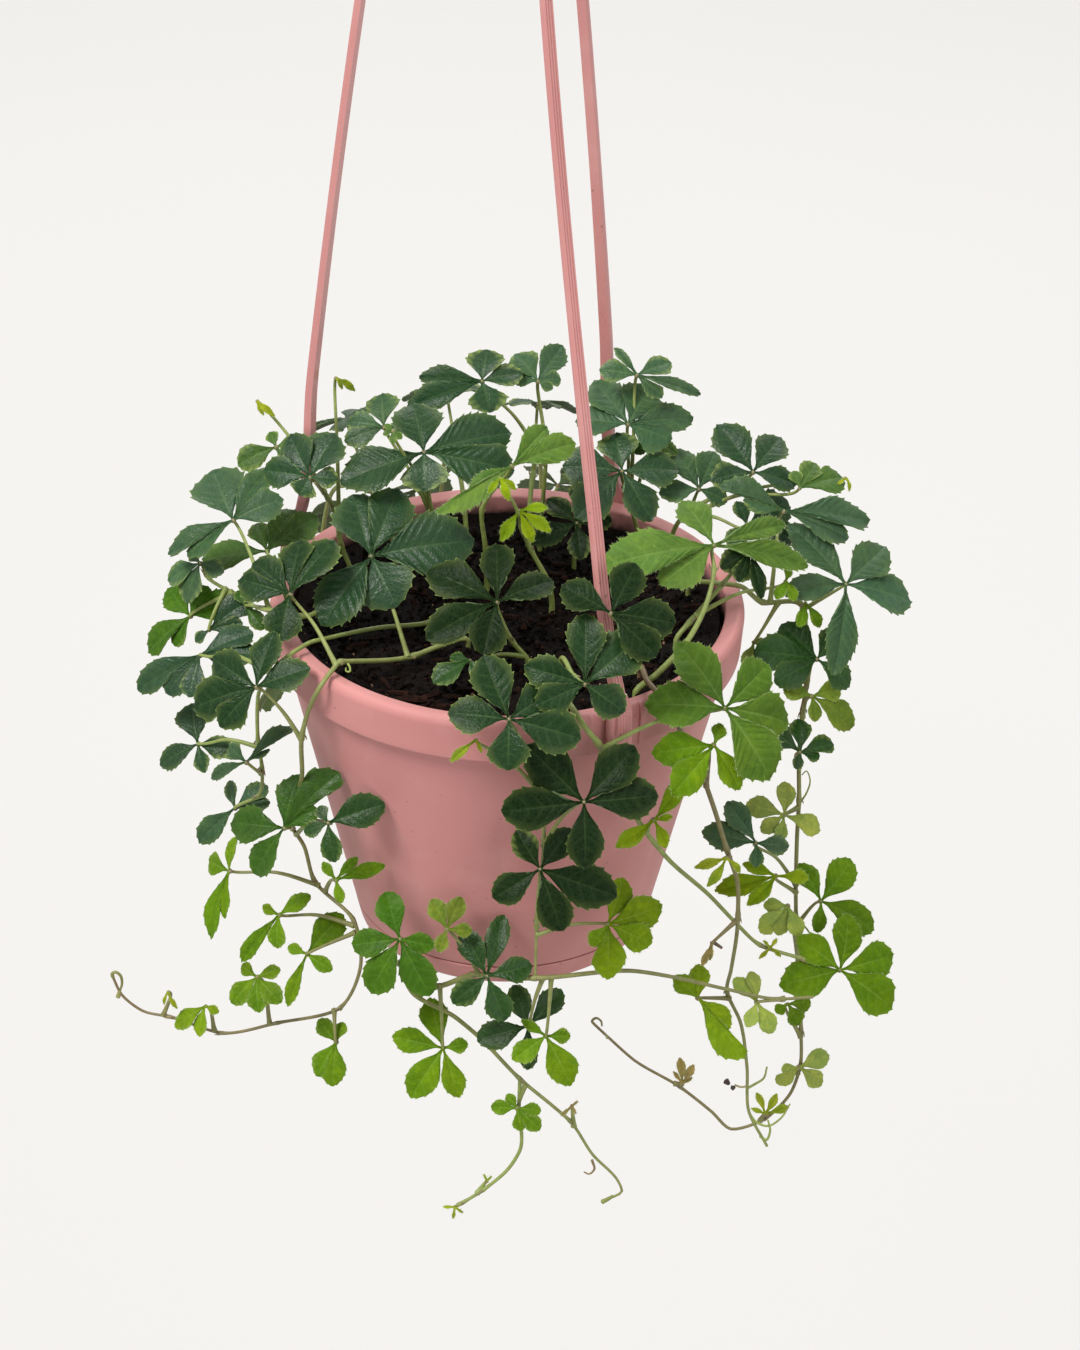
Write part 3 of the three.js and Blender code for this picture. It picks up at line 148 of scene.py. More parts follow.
# The leafy stems, as in the part's source: a name, a tone, a radius, the route, the leaves and, for a branch,
# the name of the stem it grows from. A leaf gives the point of the route that its petiole grows from, its hub
# as a picture point and depth, the way its face looks, and the tips of its leaflets as picture points.
STEMS = [
  ["left_runner", "mid", 1.2, [
    lying(468, 640), lying(440, 646), lying(414, 656), above(340, 662, 2.2), above(334, 668, 2.4),
    around(322, 684, 77.8), around(308, 712, 78.6), around(302, 735, 79), around(302, 776, 76),
    around(289, 823, 73), deep(304, 846, -24), deep(314, 880, -27), deep(353, 919, -37),
    deep(361, 962, -37), deep(341, 1007, -34), deep(277, 1023, -28), deep(222, 1033, -24),
    deep(171, 1017, -22), deep(143, 1011, -20), deep(122, 995, -20), deep(112, 975, -20),
  ], [
    [2, 371, 556, -8, -8, 48, [352, 492, 1.15], [398, 486], [473, 537], [396, 605, 1.45], [320, 622]],
    [3, 290, 594, -24, -20, 52, [299, 537], [333, 538], [237, 577], [279, 639, 1.15], [252, 560]],
    [7, 256, 687, -50, -30, 38, [210, 657], [272, 630], [307, 667], [189, 706], [217, 726]],
    [9, 284, 828, -47, -30, 30, [296, 774], [334, 772], [227, 822], [251, 874], [315, 808]],
    [9, 328, 823, -55, -20, 35, [382, 803], [333, 862], [318, 806], [303, 832]],
    [11, 229, 871, -25, -50, 30, [205, 938, 0.5], [221, 918, 0.5], [206, 860], [232, 836, 0.8]],
    [11, 336, 880, -49, -10, 35, [384, 865, 0.55], [357, 857, 0.6], [341, 903, 0.8], [322, 862, 0.7]],
    [12, 279, 915, -28, -30, 35, [238, 961, 0.45], [275, 948, 0.9], [261, 906, 0.7], [308, 895, 0.8]],
    [12, 307, 954, -36, -20, 35, [341, 914], [331, 970, 0.9], [285, 1006, 0.5], [287, 946, 0.8]],
    [15, 257, 977, -30, -30, 40, [230, 1003], [257, 1012], [279, 1002], [240, 965], [279, 969]],
    [14, 336, 1042, -38, -10, 40, [316, 1076], [331, 1086], [318, 1019], [343, 1022]],
    [16, 205, 1006, -26, -30, 40, [173, 1027], [197, 1036], [218, 1012]],
    [17, 168, 992, -24, -20, 40, [162, 1004], [175, 1008]],
  ]],
  ["left_creeper", "mid", 1.1, [
    lying(452, 612), lying(426, 623), lying(385, 627), above(314, 641, 2.2), above(297, 650, 2.6),
    above(288, 656, 2.5), around(275, 672, 81), deep(258, 697, -24), deep(258, 741, -24),
    deep(262, 768, -22), deep(258, 796, -18),
  ], [
    [6, 200, 655, -14, -30, 45, [133, 687, 0.65], [164, 692], [188, 696], [250, 631], [253, 652]],
    [8, 198, 744, -14, -30, 40, [190, 702, 1.4], [157, 764], [203, 772], [233, 749]],
    [9, 246, 762, -34, -50, 50, [208, 776, 0.55], [290, 726], [226, 744, 0.8], [268, 748, 0.8]],
    [10, 235, 808, -14, -30, 35, [196, 842, 0.75], [266, 786], [268, 802, 0.8], [228, 780, 0.8]],
  ]],
  ["left_spray", "dark", 1.2, [
    lying(330, 610), above(300, 616, 6), above(272, 611, 8), deep(240, 596, 2), deep(206, 575, 4),
  ], [
    [2, 233, 520, 4, -25, 50,
      [211, 467, 1.25], [266, 464, 0.6], [165, 551, 0.6], [185, 554, 0.8], [281, 496]],
    [4, 200, 563, 6, -40, 45, [165, 579, 1.2], [184, 601, 1.3], [190, 553], [222, 571]],
    [1, 267, 551, 10, -25, 55, [200, 557], [256, 521], [292, 506], [316, 514]],
    [3, 190, 616, 4, -35, 40, [145, 650], [172, 645], [166, 586], [232, 598], [206, 585]],
    [3, 209, 630, -4, -25, 40, [250, 597], [241, 622], [194, 641]],
    [2, 246, 606, -3, -25, 45, [263, 628], [236, 590]],
  ]],
  ["crown_left", "dark", 1.2, [
    lying(352, 575), deep(341, 545, 24), deep(333, 507, 26), deep(322, 488, 28),
  ], [
    [3, 310, 477, 10, -15, 40,
      [288, 433, 1.1], [334, 432, 1.35], [262, 469], [299, 495, 1.8], [337, 478, 1.2]],
    [2, 257, 401, 34, -20, 40, [272, 414], [262, 414]],
    [1, 336, 378, 34, 10, 40, [356, 389], [343, 388]],
    [2, 276, 447, 42, -10, 50, [237, 463], [300, 440], [270, 431], [290, 464]],
  ]],
  ["crown_middle", "dark", 1.3, [
    lying(448, 575), deep(443, 548, 22), deep(432, 512, 17),
  ], [
    [2, 424, 452, 13, 0, 50, [413, 401, 1.5], [340, 479], [425, 490, 1.8], [514, 468], [511, 428]],
    [1, 384, 427, 26, -10, 50, [344, 440], [347, 420], [381, 392, 1.5], [403, 430]],
    [1, 393, 431, 6, 0, 50, [385, 424], [402, 438], [393, 443], [383, 434]],
  ]],
  ["crown_back", "dark", 1.2, [
    lying(540, 540), deep(543, 500, 46), deep(546, 450, 46),
  ], [
    [2, 538, 381, 45, 5, 50, [516, 352, 1.4], [563, 343, 0.9], [561, 378, 1.3], [513, 378], [553, 388]],
    [2, 482, 381, 40, 0, 50, [419, 374, 0.6], [487, 348, 1.6], [523, 371], [406, 404, 0.6], [491, 411, 1.7]],
  ]],
  ["crown_young", "fresh", 1.5, [
    lying(552, 605), deep(548, 582, 5), deep(531, 550, 3), deep(521, 527, 2),
  ], [
    [3, 519, 511, 0, 0, 45, [501, 539], [533, 540], [551, 529], [548, 505]],
    [2, 500, 478, -9, 0, 45, [488, 492], [509, 499], [516, 488]],
  ]],
  ["crown_light", "fresh", 1.4, [
    lying(487, 585), deep(485, 545, 12), deep(482, 510, 10),
  ], [
    [2, 512, 466, 3, 15, 50, [578, 438, 0.75], [549, 423, 0.75], [439, 508, 0.75], [470, 486, 0.6]],
  ]],
  ["crown_dark", "dark", 1.3, [
    lying(528, 662), deep(512, 641, -28),
  ], [
    [1, 497, 602, -28, 0, 58,
      [497, 541, 0.78], [427, 567, 0.78], [426, 635, 0.74], [483, 652], [553, 577, 0.9]],
    [0, 470, 660, -42, 0, 60, [433, 680], [450, 656], [478, 674]],
  ]],
  ["crown_arm", "dark", 1.3, [
    lying(640, 655), deep(634, 640, -46), deep(622, 624, -66),
  ], [
    [2, 611, 613, -72, 5, 42, [562, 585], [637, 562], [676, 622], [657, 655]],
  ]],
  ["crown_front", "dark", 1.3, [
    lying(560, 668), deep(574, 676, -62),
  ], [
    [1, 585, 684, -81.5, 5, 32, [586, 613, 0.87], [641, 636], [625, 712, 1.15], [525, 666, 0.85], [536, 705]],
  ]],
  ["crown_right", "dark", 1.3, [
    lying(640, 545), deep(636, 525, 40), deep(626, 490, 35),
  ], [
    [2, 622, 471, 30, 5, 50, [616, 431, 1.45], [563, 464, 1.15], [679, 468, 1.15], [576, 516], [652, 519]],
    [2, 628, 424, 40, 5, 50, [594, 378], [650, 386, 1.5], [694, 416, 0.72], [672, 438, 1.35], [576, 418]],
    [2, 637, 375, 44, 10, 50, [600, 368], [615, 346, 0.4], [672, 360], [702, 391, 0.4], [663, 396]],
    [2, 652, 441, 44, 5, 50, [678, 453], [634, 452], [641, 431]],
  ]],
  ["crown_corner", "dark", 1.3, [
    lying(668, 556), deep(680, 520, 38), deep(700, 505, 36),
  ], [
    [2, 753, 472, 30, 20, 50, [719, 422], [782, 434], [712, 478], [798, 482]],
    [2, 699, 489, 34, 15, 50, [675, 447], [716, 449], [660, 492], [728, 500]],
    [2, 747, 525, 22, 25, 50, [738, 500], [790, 498], [796, 537], [730, 545]],
    [2, 800, 488, 24, 30, 50, [845, 474], [817, 461], [794, 470]],
    [2, 846, 478, 31, 30, 40, [852, 490], [838, 484]],
  ]],
  ["crown_rear", "dark", 1.3, [
    lying(574, 560), deep(576, 540, 32),
  ], [
    [1, 577, 523, 30, 0, 55, [547, 497], [533, 540], [581, 558], [612, 518], [600, 497]],
    [1, 588, 480, 42, 0, 50, [562, 470], [576, 450], [604, 458], [599, 504], [570, 496]],
  ]],
  ["right_light", "fresh", 1.7, [
    lying(636, 692), deep(655, 676, -41), deep(688, 640, -32), deep(706, 605, -22), deep(714, 570, -14),
  ], [
    [4, 714, 545, -8, 20, 52, [684, 497], [605, 559, 0.8], [663, 581], [789, 519, 0.4], [812, 561, 0.45]],
  ]],
  ["right_second", "dark", 1.3, [
    lying(676, 640), deep(690, 622, -10), deep(722, 585, -7),
  ], [
    [2, 750, 551, -4, 25, 50, [763, 597, 0.55], [722, 567], [739, 580], [775, 545]],
    [1, 786, 581, -4, 25, 50, [796, 600], [777, 598], [790, 566]],
  ]],
  ["front_runner", "dark", 1.3, [
    lying(536, 668), above(539, 697, 3.2), above(541, 710, 2.8), around(541, 733, 79.5),
    around(541, 783, 79), around(544, 840, 71), around(537, 920, 64), deep(535, 978, -66),
  ], [
    [4, 509, 719, -86, 0, 36, [483, 655], [448, 712], [508, 770, 1.25], [581, 738], [556, 690, 1.1]],
    [4, 476, 740, -82, 0, 40, [450, 760], [482, 752]],
    [5, 584, 802, -88, 5, 28, [527, 746], [636, 747], [659, 796], [586, 869], [502, 812]],
    [6, 540, 869, -78, 0, 28, [493, 899], [562, 932], [617, 897], [516, 831], [571, 829]],
    [6, 608, 924, -66, 10, 32, [664, 906], [653, 944], [625, 878], [591, 946], [609, 980]],
  ]],
  ["under_runner", "mid", 1.3, [
    deep(398, 962, -54), deep(433, 986, -56), deep(472, 975, -60), deep(535, 978, -66),
    deep(634, 971, -62), deep(673, 977, -58), deep(726, 989, -53), deep(777, 999, -50),
    deep(813, 997, -48),
  ], [
    [0, 400, 939, -60, -10, 30, [385, 892], [351, 945], [369, 993], [429, 996], [434, 946]],
    [2, 447, 929, -65, 0, 32, [432, 899], [461, 897], [472, 931], [438, 952]],
    [2, 487, 976, -68, 0, 32, [463, 930, 0.9], [503, 915, 0.68], [532, 966], [505, 1021], [452, 1003]],
    [1, 443, 1048, -58, 0, 34, [429, 998], [392, 1036, 0.9], [410, 1098], [459, 1098, 0.8], [468, 1044]],
    [3, 528, 1026, -62, 0, 34, [477, 1040], [514, 985], [562, 990, 0.9], [528, 1070, 0.8]],
    [3, 546, 1036, -67, 10, 34, [571, 1036], [572, 1086], [513, 1060], [522, 1020, 0.6]],
    [7, 757, 1002, -50, 20, 38, [735, 978], [752, 971], [748, 1027], [774, 1033]],
  ], "front_runner"],
  ["low_runner", "fresh", 1.1, [
    deep(400, 964, -54), deep(412, 992, -54), deep(455, 1017, -54), deep(478, 1036, -54),
    deep(520, 1079, -56), deep(554, 1107, -56),
    deep(570, 1121, -56), deep(593, 1155, -56), deep(618, 1181, -56), deep(622, 1191, -56),
    deep(602, 1201, -56),
  ], [
    [4, 517, 1108, -60, 0, 36, [491, 1107], [507, 1094], [521, 1131], [540, 1130], [541, 1111]],
    [6, 572, 1106, -58, 0, 36, [561, 1116], [578, 1101], [576, 1114]],
  ], "front_runner"],
  ["low_twig", "fresh", 0.9, [
    deep(520, 1079, -56), deep(519, 1107, -56), deep(520, 1150, -56), deep(509, 1168, -56),
    deep(483, 1190, -56), deep(462, 1203, -56),
  ], [
    [5, 455, 1207, -58, 0, 36, [443, 1207], [453, 1219], [463, 1213]],
    [4, 487, 1181, -56, 10, 40, [492, 1176], [484, 1174]],
  ], "front_runner"],
  ["rim_runner", "fresh", 1.4, [
    lying(556, 690), above(566, 699, 3.4), above(573, 709, 3), around(584, 726, 80),
    around(598, 743, 80), around(612, 775, 79), around(628, 803, 77), around(643, 828, 75),
    deep(669, 860, -57), deep(708, 894, -50), deep(735, 922, -44), deep(760, 945, -40),
    deep(800, 958, -38),
  ], [
    [4, 725, 708, -62, 25, 38, [681, 640], [650, 702], [772, 662], [794, 721], [776, 778]],
    [7, 654, 820, -70, 15, 34, [619, 847], [668, 848], [685, 781], [674, 816, 0.8]],
    [12, 840, 970, -36, 25, 36, [852, 913], [897, 955], [896, 1008], [783, 985], [800, 937]],
    [11, 770, 948, -42, 10, 40, [760, 958], [782, 956], [764, 940], [778, 938]],
  ]],
  ["right_brown", "fresh", 1.3, [
    lying(640, 672), above(647, 681, 3.2), above(655, 690, 3), around(670, 710, 82),
    around(686, 742, 82), deep(704, 780, -54), deep(714, 808, -53), deep(727, 850, -55),
    deep(737, 880, -57), deep(738, 915, -57), deep(731, 970, -46), deep(727, 992, -42),
    deep(740, 1021, -42), deep(747, 1067, -42), deep(749, 1112, -42), deep(767, 1146, -42),
  ], [
    [5, 714, 745, -66, 20, 38, [654, 752], [674, 794], [742, 789], [722, 723]],
    [7, 726, 858, -62, 20, 36, [698, 867], [711, 886], [743, 872]],
    [11, 698, 998, -52, 10, 34, [675, 976], [700, 964], [731, 1029], [747, 1058]],
    [9, 712, 943, -58, 0, 38, [702, 966], [710, 960]],
  ]],
  ["right_strand", "mid", 1.2, [
    lying(688, 592), above(716, 583, 5), above(740, 586, 5), deep(762, 602, 5), deep(800, 603, 5),
    deep(806, 640, 3), deep(807, 680, 0), deep(803, 710, -2), deep(799, 760, -4), deep(799, 800, -6),
    deep(797, 838, -8), deep(796, 878, -10), deep(796, 918, -12), deep(798, 955, -14),
    deep(800, 990, -16), deep(801, 1030, -18), deep(800, 1067, -20), deep(790, 1094, -22),
    deep(767, 1117, -24), deep(754, 1124, -26), deep(731, 1129, -28), deep(712, 1112, -28),
    deep(680, 1087, -28), deep(634, 1060, -30), deep(608, 1037, -30), deep(594, 1024, -30),
  ], [
    [4, 846, 584, 4, 35, 45, [888, 544], [792, 521, 0.8], [787, 589, 0.7], [916, 598], [838, 672, 0.7]],
    [3, 784, 511, 12, 30, 50, [874, 517, 0.7], [852, 535, 0.8], [722, 483, 0.8], [745, 498, 0.8]],
    [6, 817, 659, -4, 25, 40, [783, 624], [841, 630], [777, 681], [852, 685], [757, 650]],
    [7, 812, 696, -9, 30, 40, [842, 689], [857, 725], [817, 721], [785, 688]],
    [8, 800, 752, -14, 25, 40, [801, 718], [768, 727], [835, 743], [797, 769], [821, 756]],
    [9, 784, 815, -12, 25, 40, [748, 803], [787, 781], [762, 831], [822, 829], [780, 840]],
    [11, 756, 843, -28, 15, 40, [728, 801], [703, 831], [757, 867], [790, 846]],
    [11, 776, 876, -22, 15, 36, [745, 863], [750, 905], [719, 890], [812, 877]],
    [12, 821, 901, -16, 30, 38, [855, 858], [878, 928], [801, 863], [819, 932]],
    [13, 788, 906, -24, 10, 38, [761, 932], [778, 935], [800, 936], [764, 905]],
    [15, 788, 1004, -22, 20, 38, [812, 1002, 1.3], [800, 1025, 1.3], [776, 1012, 1.3]],
    [16, 799, 1067, -22, 15, 40, [830, 1054], [777, 1083], [823, 1085], [782, 1070]],
    [18, 765, 1114, -28, 10, 40, [758, 1092], [779, 1093], [791, 1106], [752, 1108]],
    [22, 682, 1084, -30, 10, 40, [681, 1057, 1.3], [695, 1064, 1.3], [693, 1077], [674, 1071]],
    [4, 806, 603, -1, 30, 45, [822, 626], [800, 626]],
    [3, 754, 642, 2, 25, 45, [779, 660], [746, 669], [766, 641]],
  ]],
]

# How each leaf of a stem is coloured, in the order of its leaves.
LEAF_TONES = {
    "left_runner": "dark edged edged rich bottle light light light light light light sunny young",
    "left_creeper": "blue dark dusty dusty",
    "left_spray": "dusty dusty mid grass dark rich",
    "crown_left": "dark young young mid",
    "crown_middle": "dark dusty mid",
    "crown_back": "dusty dark",
    "crown_young": "bright bright",
    "crown_light": "downy_and_painted_sheen",
    "crown_dark": "deep bottle",
    "crown_arm": "deep",
    "crown_front": "edged",
    "crown_right": "dark dusty dusty mid",
    "crown_corner": "dark dusty dark mid young",
    "crown_rear": "deep deep",
    "right_light": "downy_and_painted_sheen",
    "right_second": "deep light",
    "front_runner": "edged young deep deep sunny",
    "under_runner": "grass olive bottle fresh bottle fresh pale",
    "low_runner": "light brown",
    "low_twig": "young young",
    "rim_runner": "velvet bright fresh young",
    "right_brown": "fresh young sunny brown",
    # Some of these leaves take lighter tones than their own green: painted light for the light that shines
    # through them.
    "right_strand": "dusty dusty bottle olive bottle pale dusty bright "
                    "light pale light pale young brown light pale",
}
# A tone is the red, green and blue of the blade, how pale its veins and its edge are, and how hairy it is.
TONES = {
    # The next tone is partly a dark green and partly painted shade, for leaves in the shade of others.
    "deep": [(0.0025, 0.0135, 0.0025), 0.36, 0.60, 0],
    "bottle": [(0.006, 0.036, 0.002), 0.40, 0.45, 0],
    "dark": [(0.008, 0.037, 0.012), 0.48, 0.75, 0],
    "blue": [(0.012, 0.044, 0.020), 0.55, 0.60, 0],
    # The next tone is lighter and bluer than the leaf's own green: a painted sheen.
    "dusty": [(0.030, 0.074, 0.034), 0.50, 0.60, 0],
    "edged": [(0.0045, 0.025, 0.0055), 0.50, 1.00, 0],
    "mid": [(0.042, 0.094, 0.018), 0.55, 0.70, 0],
    "grass": [(0.034, 0.102, 0.002), 0.50, 0.45, 0],
    "rich": [(0.020, 0.068, 0.002), 0.45, 0.45, 0],
    "light": [(0.082, 0.164, 0.004), 0.60, 0.40, 1],
    # The next tone has edge hairs and is bluer than the leaf's own green: a painted sheen on blades that face
    # up.
    "downy_and_painted_sheen": [(0.074, 0.145, 0.027), 0.70, 0.45, 3],
    "velvet": [(0.056, 0.121, 0.012), 0.70, 0.45, 3],
    "fresh": [(0.086, 0.168, 0.003), 0.60, 0.45, 2],
    "sunny": [(0.120, 0.205, 0.004), 0.60, 0.40, 2],
    "bright": [(0.165, 0.255, 0.004), 0.40, 0.40, 2],
    "young": [(0.200, 0.262, 0.016), 0.40, 0.30, 1],
    "pale": [(0.225, 0.290, 0.064), 0.40, 0.30, 1],
    "olive": [(0.100, 0.145, 0.016), 0.40, 0.50, 1],
    "brown": [(0.230, 0.185, 0.075), 0.20, 0.20, 1],
}
# How a leaflet of a tone grows: its share of the usual width, its fold, its droop, how pointed its tip is,
# and how far its teeth stand out. Any other tone has the habit of a grown leaf.
HABITS = {
    "young": (0.5, 0.55, 0.4, 0.85, 0.05),
    "bright": (0.66, 0.4, 0.3, 0.9, 0.06),
    "brown": (0.45, 0.5, 0.3, 0.9, 0.05),
    "fresh": (0.92, 0.18, 0.14, 0.78, 0.045),
    "sunny": (0.92, 0.18, 0.14, 0.78, 0.045),
    "light": (0.95, 0.16, 0.13, 0.68, 0.05),
    "pale": (0.96, 0.16, 0.13, 0.66, 0.035),
    "olive": (0.96, 0.16, 0.13, 0.68, 0.045),
    "downy_and_painted_sheen": (0.92, 0.2, 0.16, 0.82, 0.085),
    "velvet": (0.92, 0.2, 0.16, 0.82, 0.085),
    "dark": (1.0, 0.14, 0.12, 0.74, 0.08),
    "dusty": (1.0, 0.14, 0.12, 0.74, 0.08),
    "edged": (1.0, 0.14, 0.12, 0.68, 0.08),
}
GROWN_HABIT = (1.0, FOLD, DROOP, 0.6, 0.072)
GREEN_STEM = (0.24, 0.31, 0.075)
BROWN_STEM = (0.175, 0.105, 0.062)
BACK_TONES = ["dark", "blue", "mid"]
# Stems that are brown or half brown along their length, as shares at the root and at the end.
STEM_BROWNNESS = {
    "left_runner": (0.15, 0.85),
    "under_runner": (0.3, 0.55),
    "low_runner": (0.2, 0.35),
    "front_runner": (0.1, 0.4),
    "rim_runner": (0.05, 0.15),
    "right_brown": (1.0, 0.25),
    "right_strand": (0.15, 0.8),
}
HAIR_TINT = (0.42, 0.52, 0.24)
KNOT_TINT = (0.22, 0.19, 0.09)

WORD = 0xFFFFFFFF


def random_from(seed):
    """Even draws between 0 and 1, the same as in the part's source for the same seed."""
    state = seed

    def draw():
        nonlocal state
        state = (state + 0x6D2B79F5) & WORD
        t = ((state ^ (state >> 15)) * (1 | state)) & WORD
        t = ((t + ((t ^ (t >> 7)) * (61 | t))) ^ t) & WORD
        return (t ^ (t >> 14)) / (WORD + 1)

    return draw


def unit(vector):
    return vector / np.linalg.norm(vector)


def units(rows):
    return rows / np.maximum(np.linalg.norm(rows, axis=-1, keepdims=True), 1e-9)


def facing(azimuth, elevation):
    """The direction that a face looks to, with azimuths from the front and elevations from level."""
    a, e = math.radians(azimuth), math.radians(elevation)
    return np.array([math.sin(a) * math.cos(e), -math.cos(a) * math.cos(e), math.sin(e)])


def polar(radius, azimuth, z):
    a = math.radians(azimuth)
    return np.array([radius * math.sin(a), -radius * math.cos(a), z])


SHARP_ANGLE = math.radians(50)


class Form:
    """Closed bodies gathered into one mesh. Every point has a tint and marks, which the materials read."""

    def __init__(self):
        self.points, self.faces, self.tints, self.marks, self.looks = [], [], [], [], []
        self.count = 0

    def add(self, points, faces, tint=(1, 1, 1), marks=(0, 0, 0), look=0):
        points = np.asarray(points, float).reshape(-1, 3)
        self.points.append(points)
        for group in faces:
            if len(group):
                self.faces.append(np.asarray(group, int) + self.count)
                self.looks.append(np.full(len(group), look))
        self.tints.append(np.broadcast_to(np.asarray(tint, float), points.shape))
        self.marks.append(np.broadcast_to(np.asarray(marks, float), points.shape))
        self.count += len(points)

    def mesh(self, name):
        data = bpy.data.meshes.new(name)
        points = (np.concatenate(self.points) + HUNG) * METRE
        data.vertices.add(len(points))
        data.vertices.foreach_set("co", points.astype(np.float32).ravel())
        corners = np.concatenate([f.ravel() for f in self.faces])
        sizes = np.concatenate([np.full(len(f), f.shape[1]) for f in self.faces])
        data.loops.add(len(corners))
        data.loops.foreach_set("vertex_index", corners.astype(np.int32))
        data.polygons.add(len(sizes))
        data.polygons.foreach_set("loop_start", (np.cumsum(sizes) - sizes).astype(np.int32))
        data.polygons.foreach_set("material_index", np.concatenate(self.looks).astype(np.int32))
        for label, rows in (("tint", self.tints), ("marks", self.marks)):
            attribute = data.attributes.new(label, "FLOAT_COLOR", "POINT")
            rows = np.concatenate(rows)
            attribute.data.foreach_set("color", np.c_[rows, np.ones(len(rows))].astype(np.float32).ravel())
        data.update(calc_edges=True)
        data.shade_smooth()
        data.set_sharp_from_angle(angle=SHARP_ANGLE)
        return data


def add_object(name, data):
    obj = bpy.data.objects.new(name, data)
    bpy.context.scene.collection.objects.link(obj)
    return obj


def piece(name, form, materials, nodes):
    obj = add_object(name, form.mesh(name))
    for material in materials:
        obj.data.materials.append(material)
    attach(obj, "root")
    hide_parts(*nodes)
    return obj


def shell_faces(rows, columns):
    """The faces of a closed body between an upper grid of points and a lower one."""
    index = np.arange(rows * columns).reshape(rows, columns)
    below = rows * columns
    upper = np.stack([index[:-1, :-1], index[1:, :-1], index[1:, 1:], index[:-1, 1:]], -1).reshape(-1, 4)
    loop = np.concatenate([index[:-1, 0], index[-1, :-1], index[:0:-1, -1], index[0, :0:-1]])
    after = np.roll(loop, -1)
    wall = np.stack([after, loop, loop + below, after + below], -1)
    return [np.concatenate([upper, upper[:, ::-1] + below, wall])]


def smooth_line(points, step, slack=1.0):
    """A smooth line through points, with a point about every step."""
    points = np.asarray(points, float)
    gaps = np.maximum(np.linalg.norm(np.diff(points, axis=0), axis=1), 1e-6)
    slopes = np.diff(points, axis=0) / gaps[:, None]
    speeds = np.concatenate([
        slopes[:1],
        (slopes[1:] * gaps[:-1, None] + slopes[:-1] * gaps[1:, None]) / (gaps[1:] + gaps[:-1])[:, None],
        slopes[-1:],
    ]) * slack
    line = []
    for i, gap in enumerate(gaps):
        count = max(2, int(round(gap / step)))
        t = np.arange(count)[:, None] / count
        line.append(
            (2 * t**3 - 3 * t**2 + 1) * points[i] + (t**3 - 2 * t**2 + t) * gap * speeds[i]
            + (3 * t**2 - 2 * t**3) * points[i + 1] + (t**3 - t**2) * gap * speeds[i + 1]
        )
    return np.concatenate([*line, points[-1:]])


def frames_along(line):
    """The direction of a line at each of its points, and two sideways directions that don't twist."""
    along = units(np.gradient(line, axis=0))
    side = np.zeros_like(line)
    start = along[0]
    side[0] = unit(np.cross(np.array([start[2], start[0], start[1]]), start))
    for i in range(1, len(line)):
        turned = side[i - 1] - along[i] * np.dot(side[i - 1], along[i])
        side[i] = unit(turned)
    return along, side, np.cross(along, side)


def tube_faces(rings, sides):
    """The faces between rings of points, with a fan to the last two points at either end."""
    index = np.arange(rings * sides).reshape(rings, sides)
    turned = np.roll(index, -1, axis=1)
    quads = np.stack([index[:-1], turned[:-1], turned[1:], index[1:]], -1).reshape(-1, 4)
    first, last = rings * sides, rings * sides + 1
    start = np.stack([np.full(sides, first), turned[0], index[0]], -1)
    end = np.stack([np.full(sides, last), index[-1], turned[-1]], -1)
    return [quads, np.concatenate([start, end])]


def tube_points(line, radii, sides):
    """Rings of points along a line, and a point past either end that closes the tube as a low cone."""
    along, side, other = frames_along(line)
    turns = 2 * math.pi * np.arange(sides) / sides
    reach = np.asarray(radii)[:, None]
    rings = (
        line[:, None]
        + side[:, None] * (reach * np.cos(turns))[..., None]
        + other[:, None] * (reach * np.sin(turns))[..., None]
    )
    ends = [line[0] - along[0] * radii[0] * 0.4, line[-1] + along[-1] * radii[-1] * 0.6]
    return np.concatenate([rings.reshape(-1, 3), ends])


def add_tube(form, line, radii, sides, tint=(1, 1, 1), look=1):
    """A tube along a line. A tint may be given for each point of the line."""
    points = tube_points(line, radii, sides)
    if np.ndim(tint) == 2:
        tint = np.concatenate([np.repeat(tint, sides, axis=0), tint[:1], tint[-1:]])
    form.add(points, tube_faces(len(line), sides), tint, look=look)


# Leaflets. A row of points runs from the rib out to the edge along each side vein, so that the veins, the
# furrows over them and the teeth that they end in all come from the same rows. A step gives a row's place
# between two veins, and how far the edge stands out there.
ROW_STEPS = {
    "large": [(0.0, 1.0), (0.14, -0.35), (0.45, -0.15), (0.78, 0.2)],
    "middle": [(0.0, 1.0), (0.2, -0.3), (0.62, 0.0)],
    "small": [(0.0, 1.0), (0.35, -0.2)],
}
TOOTH_COUNT = {"large": 8, "middle": 6, "small": 5}
FIRST_TOOTH = 0.36
LAST_TOOTH = 0.95
LOWER_VEINS = {"large": [0.14, 0.27], "middle": [0.22], "small": [0.22]}
LOWER_TOOTH = 0.25
TIP_TOOTH = 0.3
COLUMNS = {
    "large": [0.05, 0.2, 0.42, 0.66, 0.86, 0.965, 1.0],
    "middle": [0.07, 0.3, 0.62, 0.94, 1.0],
    "small": [0.12, 0.55, 1.0],
}
# The outline: where a blade is widest, how its base tapers, how its side veins slant and bend, how its edge
# waves, how far it may swing towards its neighbour, and the half width of its stalk in millimetres.
FULLEST = 1.5
FULLEST_SPREAD = 0.3
BASE_WEDGE = 1.1
SLANT = 0.24
SLANT_AT_BASE = 0.62
VEIN_BEND = 1.12
TOOTH_AHEAD = 0.022
EDGE_WAVE = 0.035
ROOM_SHARE = 1.3
WIDEST_SWING = 1.35
STALK_HALF = 0.22
STALK_FLARE = 0.2
